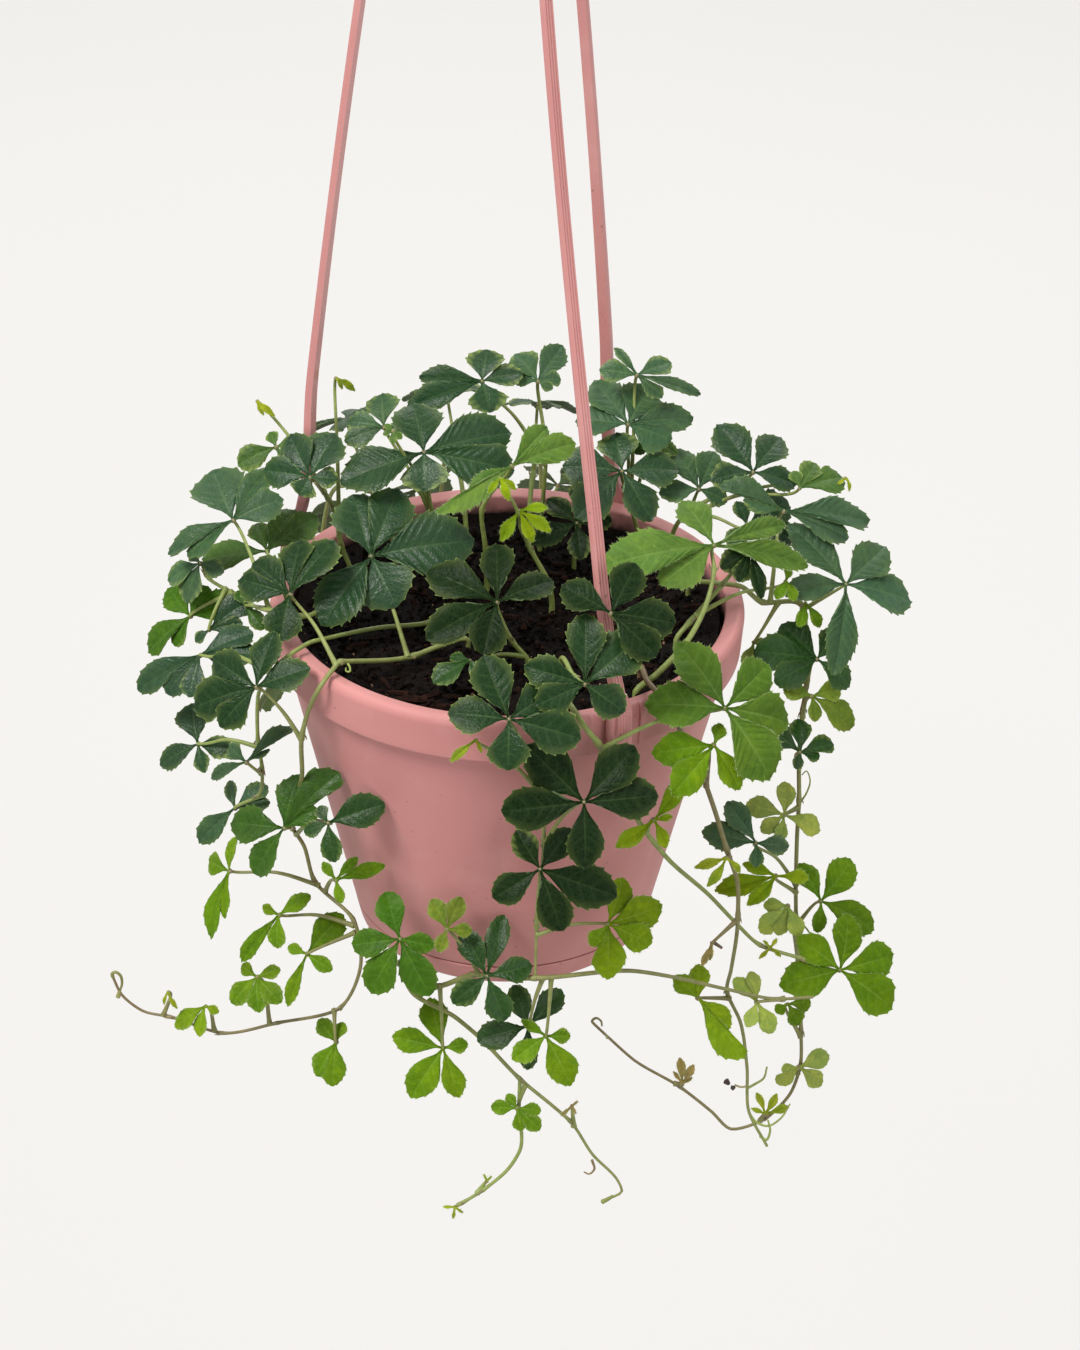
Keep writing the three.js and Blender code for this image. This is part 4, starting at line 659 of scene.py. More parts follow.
# The relief, as shares of the length or the width: how much a tip curls, a side twists and a leaflet tilts,
# the quilting between veins, up to a length, the ripple of the edge, the furrow over the rib, how much more a
# narrowed leaflet folds, and the rib under the blade in millimetres.
CURL = 0.05
TWIST = 0.06
TILT = 0.19
QUILT = 0.036
QUILT_LENGTH = 24
RIPPLE = 0.026
FURROW = 0.010
FURROW_WIDTH = 0.1
NARROW_FOLD = 0.5
RIB = 0.45
RIB_WIDTH = 0.07


def leaflet_rows(grade):
    """Where each row meets the edge, how far it lies between two veins, and how far its tooth stands out."""
    teeth = list(np.linspace(FIRST_TOOTH, LAST_TOOTH, TOOTH_COUNT[grade]))
    veins = [0.0, *LOWER_VEINS[grade], *teeth, 1.0]
    strength = [0.0, *(LOWER_TOOTH for _ in LOWER_VEINS[grade]), *(1.0 for _ in teeth), TIP_TOOTH]
    rows = []
    for i in range(len(veins) - 1):
        for phase, out in ROW_STEPS[grade]:
            share = strength[i + 1] if phase > 0.6 else strength[i]
            rows.append((veins[i] + phase * (veins[i + 1] - veins[i]), phase, out * share))
    return np.array([*rows, (1.0, 0.0, 0.0)])


def soft_limit(swing, limit):
    """A swing that eases off towards a limit, and never passes it."""
    start = 0.84 * limit
    eased = start + (limit - start) * np.tanh((swing - start) / (limit - start))
    return np.where(swing < start, swing, eased)


def leaflet_sides(leaf, finger, edge, tooth, draw):
    """How far the blade reaches at each row, on the left of its rib and on the right."""
    narrow, _, _, point, toothing = leaf["habit"]
    length = finger["length"]
    half_width = finger["half_width"] * narrow * leaf["breadth"]
    fullest = FULLEST + FULLEST_SPREAD * (draw() - 0.5)
    arch = np.maximum(np.sin(math.pi * np.minimum(edge, 1) ** fullest), 0)
    width = half_width * arch ** np.where(edge**fullest < 0.5, BASE_WEDGE, point)
    sides = []
    for room in finger["rooms"]:
        uneven = np.array([0.6 + 0.8 * draw() for _ in tooth])
        wave = 1 + EDGE_WAVE * np.sin(2 * math.pi * (1.2 + draw()) * edge + 6 * draw())
        toothed = width * wave * (1 + toothing * uneven * tooth)
        swing = np.arctan2(toothed, np.maximum(edge * length, 1e-6))
        sides.append(np.tan(soft_limit(swing, min(ROOM_SHARE * room, WIDEST_SWING))) * edge * length)
    return sides


def leaflet_height(leaf, finger, edge, phase, across, share, out, draw):
    """The blade's height over the leaf's plane: its droop, curl, fold, tilt, twist, quilting and ripples."""
    _, fold, droop, _, _ = leaf["habit"]
    fold += NARROW_FOLD * max(0, 1 - finger["width"])
    length = finger["length"]
    outness = np.abs(across)
    curl = CURL * (draw() - 0.5)
    ripple = 2 * math.pi * (1.6 + draw()) * edge[:, None] + 6 * draw() + math.pi * (across < 0)
    between = np.sin(math.pi * phase)[:, None] ** 2
    quilt = QUILT * min(length, QUILT_LENGTH) * between * outness**0.6 * (1 - outness**3)
    quilt = quilt * np.sin(math.pi * edge)[:, None] ** 0.5
    return (
        length * (droop * (share - 2 * share**2) + curl * share**2)
        + fold * np.abs(out) * (1.1 - 0.5 * outness**2)
        + TILT * leaf["turn"] * out
        + (TWIST * (draw() - 0.5)) * out * share
        + quilt
        + RIPPLE * length * np.sin(ripple) * outness**2 * share
        - FURROW * length * np.exp(-((outness / FURROW_WIDTH) ** 2)) * (1 - share)
    )


def leaflet_marks(tone, phase, tooth, outness, share):
    """How strongly each point shows a vein and the pale rim."""
    _, vein_paleness, rim_paleness, _ = tone
    midrib = np.exp(-((outness / 0.05) ** 2)) * (1 - 0.4 * share)
    vein = np.maximum((phase == 0)[:, None] * (0.4 - 0.16 * outness), midrib)
    rim = np.maximum((outness > 0.99) * (0.35 + 0.65 * np.maximum(tooth, 0))[:, None], 0.24 * outness**7)
    return vein * vein_paleness, rim * rim_paleness


def add_leaflet(form, leaf, finger, tone, draw):
    """One blade, folded along its rib, with furrowed veins, teeth and a drooping tip."""
    hub, normal, length = leaf["hub"], leaf["normal"], finger["length"]
    grade = "large" if length > LARGE_LEAF else "middle" if length > MIDDLE_LEAF else "small"
    edge, phase, tooth = leaflet_rows(grade).T
    reach = np.array(COLUMNS[grade])
    across = np.concatenate([-reach[::-1], [0.0], reach])
    outness = np.abs(across)
    slant = np.minimum(SLANT * (4 * edge * (1 - edge)) ** 0.7, SLANT_AT_BASE * edge)
    share = (edge - slant)[:, None] + slant[:, None] * outness**VEIN_BEND
    share = share + TOOTH_AHEAD * np.maximum(tooth, 0)[:, None] * outness**8
    left, right = leaflet_sides(leaf, finger, edge, tooth, draw)
    inner = np.where(across[None, :] < 0, left[:, None], right[:, None])
    # Near the hub the blade narrows to a short stalk.
    inner = np.maximum(inner, STALK_HALF + STALK_FLARE * (1 - edge[:, None]))
    along, out = share * length, inner * across
    height = leaflet_height(leaf, finger, edge, phase, across, share, out, draw)
    upper = hub + along[..., None] * finger["ahead"] + out[..., None] * finger["beside"]
    upper = upper + height[..., None] * normal
    slopes = np.cross(np.gradient(upper, axis=0), np.gradient(upper, axis=1))
    skin = units(units(slopes) + 0.35 * normal)
    rib = RIB * np.exp(-((outness / RIB_WIDTH) ** 2)) * (1 - share) * min(length / 40, 1)
    lower = upper - skin * (BLADE * min(1, 0.6 + length / 60) + rib)[..., None]
    vein, rim = leaflet_marks(tone, phase, tooth, outness, share)
    marks = [np.stack([vein, rim, np.full_like(share, under)], -1).reshape(-1, 3) for under in (0, 1)]
    shade = 0.88 + 0.24 * draw()
    warmth = np.array([1 + 0.16 * (draw() - 0.5), 1.0, 1 + 0.2 * (draw() - 0.5)])
    points = np.concatenate([upper.reshape(-1, 3), lower.reshape(-1, 3)])
    form.add(points, shell_faces(*upper.shape[:2]), np.array(tone[0]) * shade * warmth, np.concatenate(marks))
    add_edge_hairs(form, upper, skin, finger, tone[3], draw)


def add_edge_hairs(form, upper, skin, finger, count, draw):
    """Short pale hairs along the edge of a young blade, a few between each row and the next."""
    rows = len(upper)
    for column, outward in ((0, -1), (-1, 1)):
        for i in range(rows // 4, rows - 1):
            for _ in range(count):
                share = draw()
                root = upper[i, column] * (1 - share) + upper[i + 1, column] * share
                lean = finger["beside"] * outward + 0.5 * finger["ahead"] + (draw() - 0.4) * skin[i, column]
                add_hair(form, root, unit(lean), 0.5 + 0.5 * draw())


HAIR_RADIUS = 0.035
HAIR_ROOT = 0.1
HAIR_FACES = [[0, 2, 1], [0, 1, 3], [1, 2, 3], [2, 0, 3]]


def add_hair(form, root, direction, length):
    side = unit(np.cross(direction, np.array([0.31, 0.22, 0.93])))
    other = np.cross(direction, side)
    foot = root - HAIR_ROOT * direction
    turns = [0, 2 * math.pi / 3, 4 * math.pi / 3]
    ring = [foot + HAIR_RADIUS * (math.cos(a) * side + math.sin(a) * other) for a in turns]
    form.add([*ring, root + direction * length], [HAIR_FACES], HAIR_TINT, look=1)


def turn_between(start, end):
    """The turn from one angle on to the next, always more than none."""
    turn = (end - start) % (2 * math.pi)
    return turn if turn > 0 else turn + 2 * math.pi


def leaf_fingers(leaf):
    """The leaflets of a leaf in their order round the hub, with the room that each has on either side."""
    hub, normal, tips = leaf["hub"], leaf["normal"], leaf["tips"]
    first = unit(tips[0] - hub)
    second = unit(np.cross(normal, first))
    arms = [tip - hub for tip in tips]
    widths = leaf.get("widths", [1] * len(arms))
    spread = sorted(
        (math.atan2(arm @ second, arm @ first), np.linalg.norm(arm), width)
        for arm, width in zip(arms, widths)
    )
    longest = max(length for _, length, _ in spread)
    fingers = []
    for i, (angle, length, width) in enumerate(spread):
        before, after = spread[i - 1][0], spread[(i + 1) % len(spread)][0]
        ahead = first * math.cos(angle) + second * math.sin(angle)
        fingers.append(dict(
            length=length,
            rooms=[turn_between(before, angle) / 2, turn_between(angle, after) / 2],
            half_width=(WIDTH_SHARE * length + WIDTH_REST * longest) * width,
            width=width,
            ahead=ahead,
            beside=np.cross(normal, ahead),
        ))
    return fingers


def add_leaf(form, leaf, tone_name, draw):
    """All leaflets of a leaf, with the knot at its hub. They tilt to one side, chosen by a draw."""
    tone = TONES[tone_name]
    leaf["turn"] = 1 if draw() < 0.5 else -1
    leaf["habit"] = HABITS.get(tone_name, GROWN_HABIT)
    leaf["breadth"] = 0.92 + 0.2 * draw()
    for finger in leaf_fingers(leaf):
        add_leaflet(form, leaf, finger, tone, draw)
    knot = leaf["hub"] - 0.35 * leaf["normal"]
    add_knot(form, knot, leaf["normal"], 0.95 if len(leaf["tips"]) > 3 else 0.7)


# The outline of a knot, as heights and half widths in shares of its radius.
KNOT = [(-0.9, 0.35), (-0.55, 0.8), (-0.1, 1.0), (0.35, 0.75), (0.62, 0.3)]


def add_knot(form, centre, normal, radius):
    """The small swollen knot in which the leaflets' stalks meet."""
    line = np.array([centre + normal * radius * height for height, _ in KNOT])
    add_tube(form, line, radius * np.array([half for _, half in KNOT]), 8, KNOT_TINT)


def sighted_leaf(row):
    """A leaf from its row of the table: the tips lie where their lines of sight meet the leaf's plane."""
    node, u, v, depth, azimuth, elevation, *tips = row
    hub = deep(u, v, depth)
    normal = facing(azimuth, elevation)
    placed = []
    for tip in tips:
        ray = sight_line(*tip[:2])
        placed.append(EYE + ray * ((hub - EYE) @ normal) / (ray @ normal))
    widths = [tip[2] if len(tip) > 2 else 1 for tip in tips]
    return dict(node=node, hub=hub, normal=normal, tips=placed, widths=widths)


# Stems and petioles follow the part's routes, rounded and smoothed.
def rooted(route):
    """A stem that starts on the soil also runs down into its hole."""
    foot = route[0]
    if math.hypot(foot[0], foot[1]) > POT["rim_inner"] or foot[2] < SOIL["top"]:
        return route
    heights = (SOIL["stem_foot"], SOIL["top"])
    return [*(np.array([foot[0], foot[1], height]) for height in heights), *route]


def over_rim(route):
    """Where a stem would cut a corner of the pot's rim, it is led over that corner."""

    def corner(start, end, radius, height):
        inside, outside = math.hypot(start[0], start[1]), math.hypot(end[0], end[1])
        if start[2] < SOIL["top"] or inside > radius or outside < radius:
            return []
        at = start + (end - start) * (radius - inside) / (outside - inside)
        return [] if at[2] > height else [np.array([at[0], at[1], height])]

    led = [route[0]]
    for start, end in zip(route, route[1:]):
        led += corner(start, end, POT["rim_inner"] - RIM_CLEARANCE, RIM_CLEARANCE)
        led += corner(start, end, POT["rim_radius"] + RIM_CLEARANCE, 0.0)
        led.append(end)
    return led


def before_face(start, leaf):
    """Whether a petiole comes to its leaf from the side that the face looks to."""
    return (start - leaf["hub"]) @ leaf["normal"] > 1


def knee_and_end(start, leaf):
    """The last two points of a petiole, which meets its leaf from behind where it can."""
    hub, normal = leaf["hub"], leaf["normal"]
    if before_face(start, leaf):
        return [hub + (start - hub) * 0.12 + normal * 0.9, hub + normal * 0.3]
    drop = min(KNEE, 0.3 * np.linalg.norm(hub - start))
    return [hub - normal * drop, hub - normal * 0.4]


def sprout_at(route, node, order):
    """Where on a stem the leaf of this order at a joint sprouts."""
    beyond = route[node + 1] if node + 1 < len(route) else route[node - 1]
    room = np.linalg.norm(beyond - route[node])
    return route[node] + (beyond - route[node]) * min(SPROUT * (order + 1), 0.9 * room) / room


def swollen(line, radii, joints):
    """A stem is a little thicker at each joint that leaves grow from."""
    for joint in joints:
        distance = np.linalg.norm(line - joint, axis=1)
        radii = radii * (1 + JOINT_SWELL * np.exp(-((distance / JOINT_REACH) ** 2)))
    return radii


def add_petiole(form, start, leaf, tint):
    """A leaf's stalk, with a wider foot at the stem and a slim end at the leaf."""
    span = np.linalg.norm(leaf["hub"] - start)
    knee, end = knee_and_end(start, leaf)
    bow = (start + knee) / 2 + np.array([0, 0, span * 0.08])
    if before_face(start, leaf):
        bow = bow + leaf["normal"] * span * 0.06
    route = [start, knee, end] if span < BENT_PETIOLE else [start, bow, knee, end]
    line = smooth_line(route, PETIOLE_STEP)
    share = np.linspace(0, 1, len(line))
    slimmed = PETIOLE_RADIUS * (1.15 - 0.45 * np.minimum(share * 1.6, 1))
    foot = 0.25 * np.exp(-((share * span / 1.2) ** 2))
    add_tube(form, line, slimmed + foot, PETIOLE_SIDES, tint)


# The way of a stipule, as steps out from the stem and ahead along it.
STIPULE = [(0.5, 0), (1.3, 0.8), (1.7, 2.0)]


def add_stipules(form, at, direction, tint, draw):
    """Two small pointed scales clasp the stem at a joint."""
    for side in (-1, 1):
        outward = unit(np.cross(direction, np.array([0.2, 0.3, 0.93])) * side + 0.4 * (draw() - 0.5))
        line = smooth_line([at + outward * out + direction * ahead for out, ahead in STIPULE], 0.6)
        add_tube(form, line, np.linspace(0.5, 0.08, len(line)), 6, tint)


def stem_tint(name, share):
    """The colours of a stem at shares of its length, between green and brown."""
    root, end = STEM_BROWNNESS.get(name, (0.0, 0.1))
    brown = (root + (end - root) * share)[:, None]
    return np.array(GREEN_STEM) * (1 - brown) + np.array(BROWN_STEM) * brown


def add_stem(form, name, radius, route, leaves, tones, draw):
    """A stem with its leaves, petioles and stipules. A leaf at its end grows straight out of it."""
    last = len(route) - 1
    ending = next((leaf for leaf in leaves if leaf["node"] == last), None)
    tail = knee_and_end(route[last], ending) if ending else []
    line = smooth_line([*over_rim(rooted(route)), *tail], STEM_STEP, STEM_SLACK)
    share = np.linspace(0, 1, len(line))
    end_radius = PETIOLE_RADIUS * 0.75 if ending else radius * STEM_SHARE * STEM_END_SHARE
    radii = radius * STEM_SHARE + (end_radius - radius * STEM_SHARE) * share
    joints = [route[node] for node in sorted({leaf["node"] for leaf in leaves})]
    add_tube(form, line, swollen(line, radii, joints), STEM_SIDES, stem_tint(name, share))
    for i, leaf in enumerate(leaves):
        add_leaf(form, leaf, tones[i], draw)
        if leaf is ending:
            continue
        earlier = sum(other["node"] == leaf["node"] for other in leaves[:i])
        tint = stem_tint(name, np.array([leaf["node"] / max(last, 1) * 0.7]))[0]
        add_petiole(form, sprout_at(route, leaf["node"], earlier), leaf, tint)
    for joint in joints:
        near = int(np.argmin(np.linalg.norm(line - joint, axis=1)))
        direction = unit(line[min(near + 1, len(line) - 1)] - line[max(near - 1, 0)])
        add_stipules(form, joint, direction, KNOT_TINT, draw)


# Behind the pot the same seeded rule as in the part's source lays out the stems.
def back_route(azimuth, draw):
    way = BACK_ROUTE
    turn = azimuth + (draw() - 0.5) * way["swing"]
    fall = way["fall"] + way["fall_spread"] * draw()
    return [
        polar(way["root_reach"], turn, SOIL["top"] + STEM_LIFT),
        polar(way["crest_reach"], turn, way["crest_height"] + way["crest_spread"] * draw()),
        polar(way["rim_reach"], turn, way["rim_height"]),
        polar(way["out_reach"], turn, -way["out_drop"]),
        polar(way["end_reach"], turn + way["end_turn"], -fall),
    ]


# The angle of each leaflet of a leaf behind the pot, and its share of the leaf's size.
PALM = [(0, 1), (62, 0.95), (-62, 0.95), (132, 0.78), (-132, 0.78)]


def palm_tips(hub, normal, heading, size, draw):
    """The tips of five leaflets, spread in the leaf's plane with the longest one ahead."""
    ahead = unit(heading - normal * (heading @ normal))
    tips = []
    for angle, share in PALM:
        a = math.radians(angle + (draw() - 0.5) * 12)
        turned = ahead * math.cos(a) + np.cross(normal, ahead) * math.sin(a)
        tips.append(hub + turned * size * share * (0.92 + 0.16 * draw()))
    return tips


def back_stem(azimuth, order):
    """The route and the leaves of a stem behind the pot: one leaf over the rim, and two that hang."""
    draw = random_from(BACK_STEMS["seed"] + order)
    route = back_route(azimuth, draw)
    leaves = []
    for i, node in enumerate((1, 3, 4)):
        crown = node == 1
        side = 1 if (i + order) % 2 == 0 else -1
        lean = azimuth + (0 if crown else side * (14 + 10 * draw()))
        hub = route[node] + polar(BACK_STEMS["reach"] + 6 * draw(), lean, 22 if crown else 3)
        normal = facing(lean, 62 if crown else 30)
        tips = palm_tips(hub, normal, polar(1, lean, -0.3), BACK_STEMS["leaf_size"] + 5 * draw(), draw)
        leaves.append(dict(node=node, hub=hub, normal=normal, tips=tips))
    return route, leaves


# Curled tips, tendrils and buds: the stem that carries them, a radius at either end, a tint, a depth, and the
# way as picture points. Without a depth, the way lies just over the rim.
RIM_CURL = 2.2
TENDRIL_TINT = (0.26, 0.33, 0.07)
DRY_TINT = (0.028, 0.014, 0.012)
CURLS = [
    ("left_runner", 0.62, 0.35, (0.20, 0.21, 0.06), -20,
     [(113, 977), (112, 974), (115, 972), (120, 975), (122, 981), (121, 988), (119, 992)]),
    ("left_runner", 0.5, 0.85, (0.26, 0.26, 0.08), -20, [(120, 990), (119, 993), (118, 997)]),
    ("left_runner", 0.4, 0.2, TENDRIL_TINT, None,
     [(348, 664), (350, 668), (349, 672), (346, 671), (346, 668)]),
    ("right_strand", 0.5, 0.3, (0.20, 0.18, 0.07), -30,
     [(595, 1025), (592, 1021), (596, 1018), (601, 1021), (602, 1026)]),
    ("right_strand", 0.3, 0.6, (0.34, 0.34, 0.16), -30, [(602, 1032), (605, 1034), (608, 1038)]),
    ("right_strand", 0.35, 0.2, TENDRIL_TINT, -5,
     [(800, 803), (807, 792), (810, 779), (806, 771), (802, 775)]),
    ("right_strand", 0.35, 0.2, TENDRIL_TINT, -12,
     [(797, 920), (806, 928), (812, 940), (808, 950), (803, 945)]),
    ("front_runner", 0.5, 0.8, (0.20, 0.24, 0.05), -56, [(613, 1196), (608, 1199), (602, 1202)]),
    ("front_runner", 0.5, 0.25, (0.22, 0.16, 0.07), -56,
     [(592, 1160), (594, 1170), (589, 1174), (584, 1172)]),
    ("right_brown", 0.5, 0.25, TENDRIL_TINT, -42,
     [(749, 1113), (756, 1122), (768, 1126), (780, 1119), (790, 1104)]),
    ("right_brown", 0.45, 0.3, TENDRIL_TINT, -42, [(748, 1088), (755, 1084), (763, 1079), (767, 1067)]),
    ("right_brown", 0.5, 0.3, TENDRIL_TINT, -42, [(760, 1136), (766, 1140), (770, 1132), (768, 1120)]),
    ("right_brown", 0.35, 0.35, (0.30, 0.26, 0.12), -42, [(748, 1086), (741, 1087), (735, 1085)]),
    ("right_brown", 0.5, 1.0, DRY_TINT, -42, [(735, 1087), (732, 1088)]),
    ("right_brown", 0.6, 1.15, DRY_TINT, -42, [(729, 1084), (726, 1081)]),
    ("right_brown", 0.45, 0.7, (0.12, 0.075, 0.045), -57, [(722, 948), (716, 944), (713, 942)]),
]


def add_curls(forms):
    for node, radius, end_radius, tint, depth, way in CURLS:
        places = [above(u, v, RIM_CURL) if depth is None else deep(u, v, depth) for u, v in way]
        line = smooth_line(places, 0.7)
        add_tube(forms[node][0], line, np.linspace(radius, end_radius, len(line)), PETIOLE_SIDES, tint)


def plant_pieces(leaf_look, stem_look):
    """One piece for each node of the plant. A branch joins the form of the stem that it grows from."""
    forms = {}
    for seed, (name, tone, radius, route, rows, *host) in enumerate(STEMS):
        node = host[0] if host else name
        form, _ = forms.setdefault(node, (Form(), tone))
        leaves = [sighted_leaf(row) for row in rows]
        add_stem(form, name, radius, route, leaves, LEAF_TONES[name].split(), random_from(101 + seed))
    for order, azimuth in enumerate(BACK_STEMS["azimuths"]):
        form, _ = forms.setdefault(f"back_stem_{order + 1}", (Form(), "dark"))
        route, leaves = back_stem(azimuth, order)
        add_stem(form, "back", BACK_STEMS["radius"], route, leaves, BACK_TONES, random_from(201 + order))
    add_curls(forms)
    for node, (form, tone) in forms.items():
        piece(node + "_fine", form, [leaf_look, stem_look], [node])
    return sum(len(f) * (f.shape[1] - 2) for form, _ in forms.values() for f in form.faces)


# Turned forms: the pot, the saucer and the hub.
def rounded(profile, radii):
    """A profile with its corners rounded, each by its own radius."""
    out = [np.array(profile[0], float)]
    for i in range(1, len(profile) - 1):
        before, here, after = (np.array(profile[k], float) for k in (i - 1, i, i + 1))
        radius = min(radii[i], 0.45 * np.linalg.norm(before - here), 0.45 * np.linalg.norm(after - here))
        if radius < 0.01:
            out.append(here)
            continue
        start, end = here + unit(before - here) * radius, here + unit(after - here) * radius
        for t in np.linspace(0, 1, 5):
            out.append((1 - t) ** 2 * start + 2 * t * (1 - t) * here + t**2 * end)
    return np.array([*out, np.array(profile[-1], float)])


def divided(profile, step):
    """A profile with long stretches divided."""
    out = [profile[0]]
    for start, end in zip(profile, profile[1:]):
        count = max(1, int(math.ceil(np.linalg.norm(end - start) / step)))
        out += [start + (end - start) * (k + 1) / count for k in range(count)]
    return np.array(out)


def add_lathe(form, profile, azimuths, shape=None, centre=(0, 0)):
    """A closed turned body. The profile runs from the axis, out under the body and back to it on top."""
    ring = profile[1:-1]
    radius = np.repeat(ring[:, :1], len(azimuths), axis=1)
    height = np.repeat(ring[:, 1:], len(azimuths), axis=1)
    turns = np.broadcast_to(azimuths, radius.shape)
    if shape:
        radius = shape(radius, height, turns)
    points = np.stack([radius * np.sin(turns) + centre[0], -radius * np.cos(turns) + centre[1], height], -1)
    poles = [[*centre, profile[0][1]], [*centre, profile[-1][1]]]
    form.add(np.concatenate([points.reshape(-1, 3), poles]), tube_faces(*radius.shape))


def even_azimuths(sides):
    return 2 * math.pi * np.arange(sides) / sides


# Turns nearer to each other than this are taken as one. Close turns, as distances round the rim from the
# middle of a pocket, keep the edges of its bed and of its ribs crisp.
CLOSE_TURN = 0.0004
POCKET_TURNS = (7.95, 8.05, 8.9, 9.6)


def pot_azimuths():
    """Even turns round the pot, with close ones beside the edges of the pockets for the arms."""
    turns = list(even_azimuths(POT["sides"]) + math.pi / POT["sides"])
    for _, azimuth, *_ in ARMS:
        for across in (*POCKET_TURNS, *(-distance for distance in POCKET_TURNS)):
            turns.append((math.radians(azimuth) + across / POT["rim_radius"]) % (2 * math.pi))
    turns = np.sort(turns)
    return turns[np.diff(turns, prepend=-1) > CLOSE_TURN]


def pot_shape(radius, height, turns):
    """Soft flutes down the wall, and a pocket with a rib on either side for each arm."""
    depth = -height
    share = np.clip((depth - POT["band_height"]) / (POT["shoulder"] - POT["band_height"]), 0, 1)
    on_wall = (radius > POT["foot_radius"] - 6) & (depth > POT["band_height"]) & (depth < POT["shoulder"])
    wave = np.abs(np.sin(POT["flute_count"] / 2 * (turns - math.pi / 2)))
    flute = POT["flute_depth"] * (1 - wave) * np.sin(math.pi * share)
    radius = radius - np.where(on_wall, flute, 0)
    for _, azimuth, *_ in ARMS:
        swing = np.arctan2(np.sin(turns - math.radians(azimuth)), np.cos(turns - math.radians(azimuth)))
        away = np.abs(swing * POT["rim_radius"])
        on_band = (radius > POT["band_foot"] - 1.3) & (depth < POT["band_height"] + 0.2)
        bed = (POT["rim_radius"] - POCKET["depth"]) / np.cos(swing)
        radius = np.where(on_band & (away < POCKET["half_width"]), np.minimum(radius, bed), radius)
        rib = on_band & (away > POCKET["half_width"]) & (away < POCKET["rib_edge"])
        radius = np.where(rib, radius + POCKET["rib"], radius)
    return radius


def wall_at(depth):
    """The wall's outer radius at a depth under the rim."""
    run = (depth - POT["band_height"]) / (POT["shoulder"] - POT["band_height"])
    return POT["neck_radius"] + (POT["foot_radius"] - POT["neck_radius"]) * run


def pot_form():
    """The pot: a neck that sits in the saucer, the fluted wall, the band under the rim, and the inside."""
    neck = POT["foot_radius"] - SAUCER["wall"] - GAP
    top = -POT["shoulder"] + GAP
    floor = POT_BASE + POT["floor"]
    profile = [
        (0, POT_BASE), (neck - POT["base_bevel"], POT_BASE), (neck, top), (POT["foot_radius"], top),
        (wall_at(POT["mid_height"]), -POT["mid_height"]),
        (POT["neck_radius"], -POT["band_height"]), (POT["band_foot"], -POT["band_height"]),
        (POT["rim_radius"], -POT["rim_edge"]), (POT["rim_radius"] - POT["rim_round"], 0),
        (POT["rim_inner"], -1), (POT["rim_inner"], -POT["band_height"]),
        (neck - POT["wall"], top), (neck - POT["wall"] - 1, floor), (0, floor),
    ]
    radii = [0, 0.6, 0.2, 0.8, 0, 0.6, 0.9, 1.6, 1.4, 0.8, 1, 1, 1, 0]
    form = Form()
    add_lathe(form, divided(rounded(profile, radii), 2.5), pot_azimuths(), pot_shape)
    return form


# Edges shorter than a sliver are closed after the cut. The cutters reach this far over and under the base.
SLIVER = 0.004
CUT_REACH = 6


def drill(obj):
    """Cuts the ring of round drain holes through the base."""
    form = Form()
    for i in range(DRAIN["count"]):
        turn = 360 * i / DRAIN["count"]
        line = np.array([polar(DRAIN["circle"], turn, POT_BASE + rise) for rise in (-CUT_REACH, CUT_REACH)])
        add_tube(form, line, [DRAIN["radius"]] * 2, DRAIN["sides"], look=0)
    cutter = add_object("drain_cutter", form.mesh("drain_cutter"))
    cut = obj.modifiers.new("drain", "BOOLEAN")
    cut.operation = "DIFFERENCE"
    cut.solver = "EXACT"
    cut.object = cutter
    bpy.context.view_layer.update()
    evaluated = obj.evaluated_get(bpy.context.evaluated_depsgraph_get())
    drilled = bpy.data.meshes.new_from_object(evaluated)
    obj.modifiers.clear()
    obj.data = drilled
    bpy.data.objects.remove(cutter)
    drop_slivers(drilled)


def drop_slivers(mesh):
    """Splits the many-sided faces round the holes, and closes the faces without area that the cut leaves."""
    work = bmesh.new()
    work.from_mesh(mesh)
    many = [face for face in work.faces if len(face.verts) > 4]
    bmesh.ops.triangulate(work, faces=many, quad_method="BEAUTY", ngon_method="BEAUTY")
    bmesh.ops.dissolve_degenerate(work, dist=SLIVER * METRE, edges=work.edges)
    work.to_mesh(mesh)
    work.free()


def saucer_form():
    """The saucer, which clips on round the neck of the pot."""
    top, wall = -POT["shoulder"], SAUCER["wall"]
    foot = top - SAUCER["height"]
    floor = foot + SAUCER["floor"]
    profile = [
        (0, foot), (SAUCER["foot_radius"], foot), (POT["foot_radius"], top),
        (POT["foot_radius"] - wall, top), (SAUCER["foot_radius"] - wall, floor), (0, floor),
    ]
    form = Form()
    outline = divided(rounded(profile, [0, 1.6, 0.5, 0.4, 1, 0]), 3)
    add_lathe(form, outline, even_azimuths(SAUCER["sides"]))
    return form


# The shares of the way from an arm's bend to its top at which its bow has points.
BOW_SHARES = (0, 0.14, 0.3, 0.5, 0.7, 0.86, 1)


def arm_line(azimuth, reach, bow):
    """The middle of an arm: up the rim, over its foot and on to the boss, bowed on the way."""
    foot = polar(reach, azimuth, ARM["bend_height"])
    direction = unit(np.array([foot[0] - HUB["shift"], foot[1], 0.0]))
    axis = np.array([HUB["shift"], 0, HUB["bottom"] + HUB_SLOT["arm_lift"]])
    top = direction * (HUB["radius"] - HUB_SLOT["arm_inset"]) + axis
    leaning = []
    for share in BOW_SHARES:
        leaning.append(foot + (top - foot) * share + direction * bow * 4 * share * (1 - share))
    rising = [
        polar(POT["rim_radius"] + STRAP["depth"], azimuth, -POT["band_height"] / 2),
        polar(POT["rim_radius"] + ARM["stand_off"], azimuth, RIM_CLEARANCE),
    ]
    return np.array([*rising, *leaning]), direction


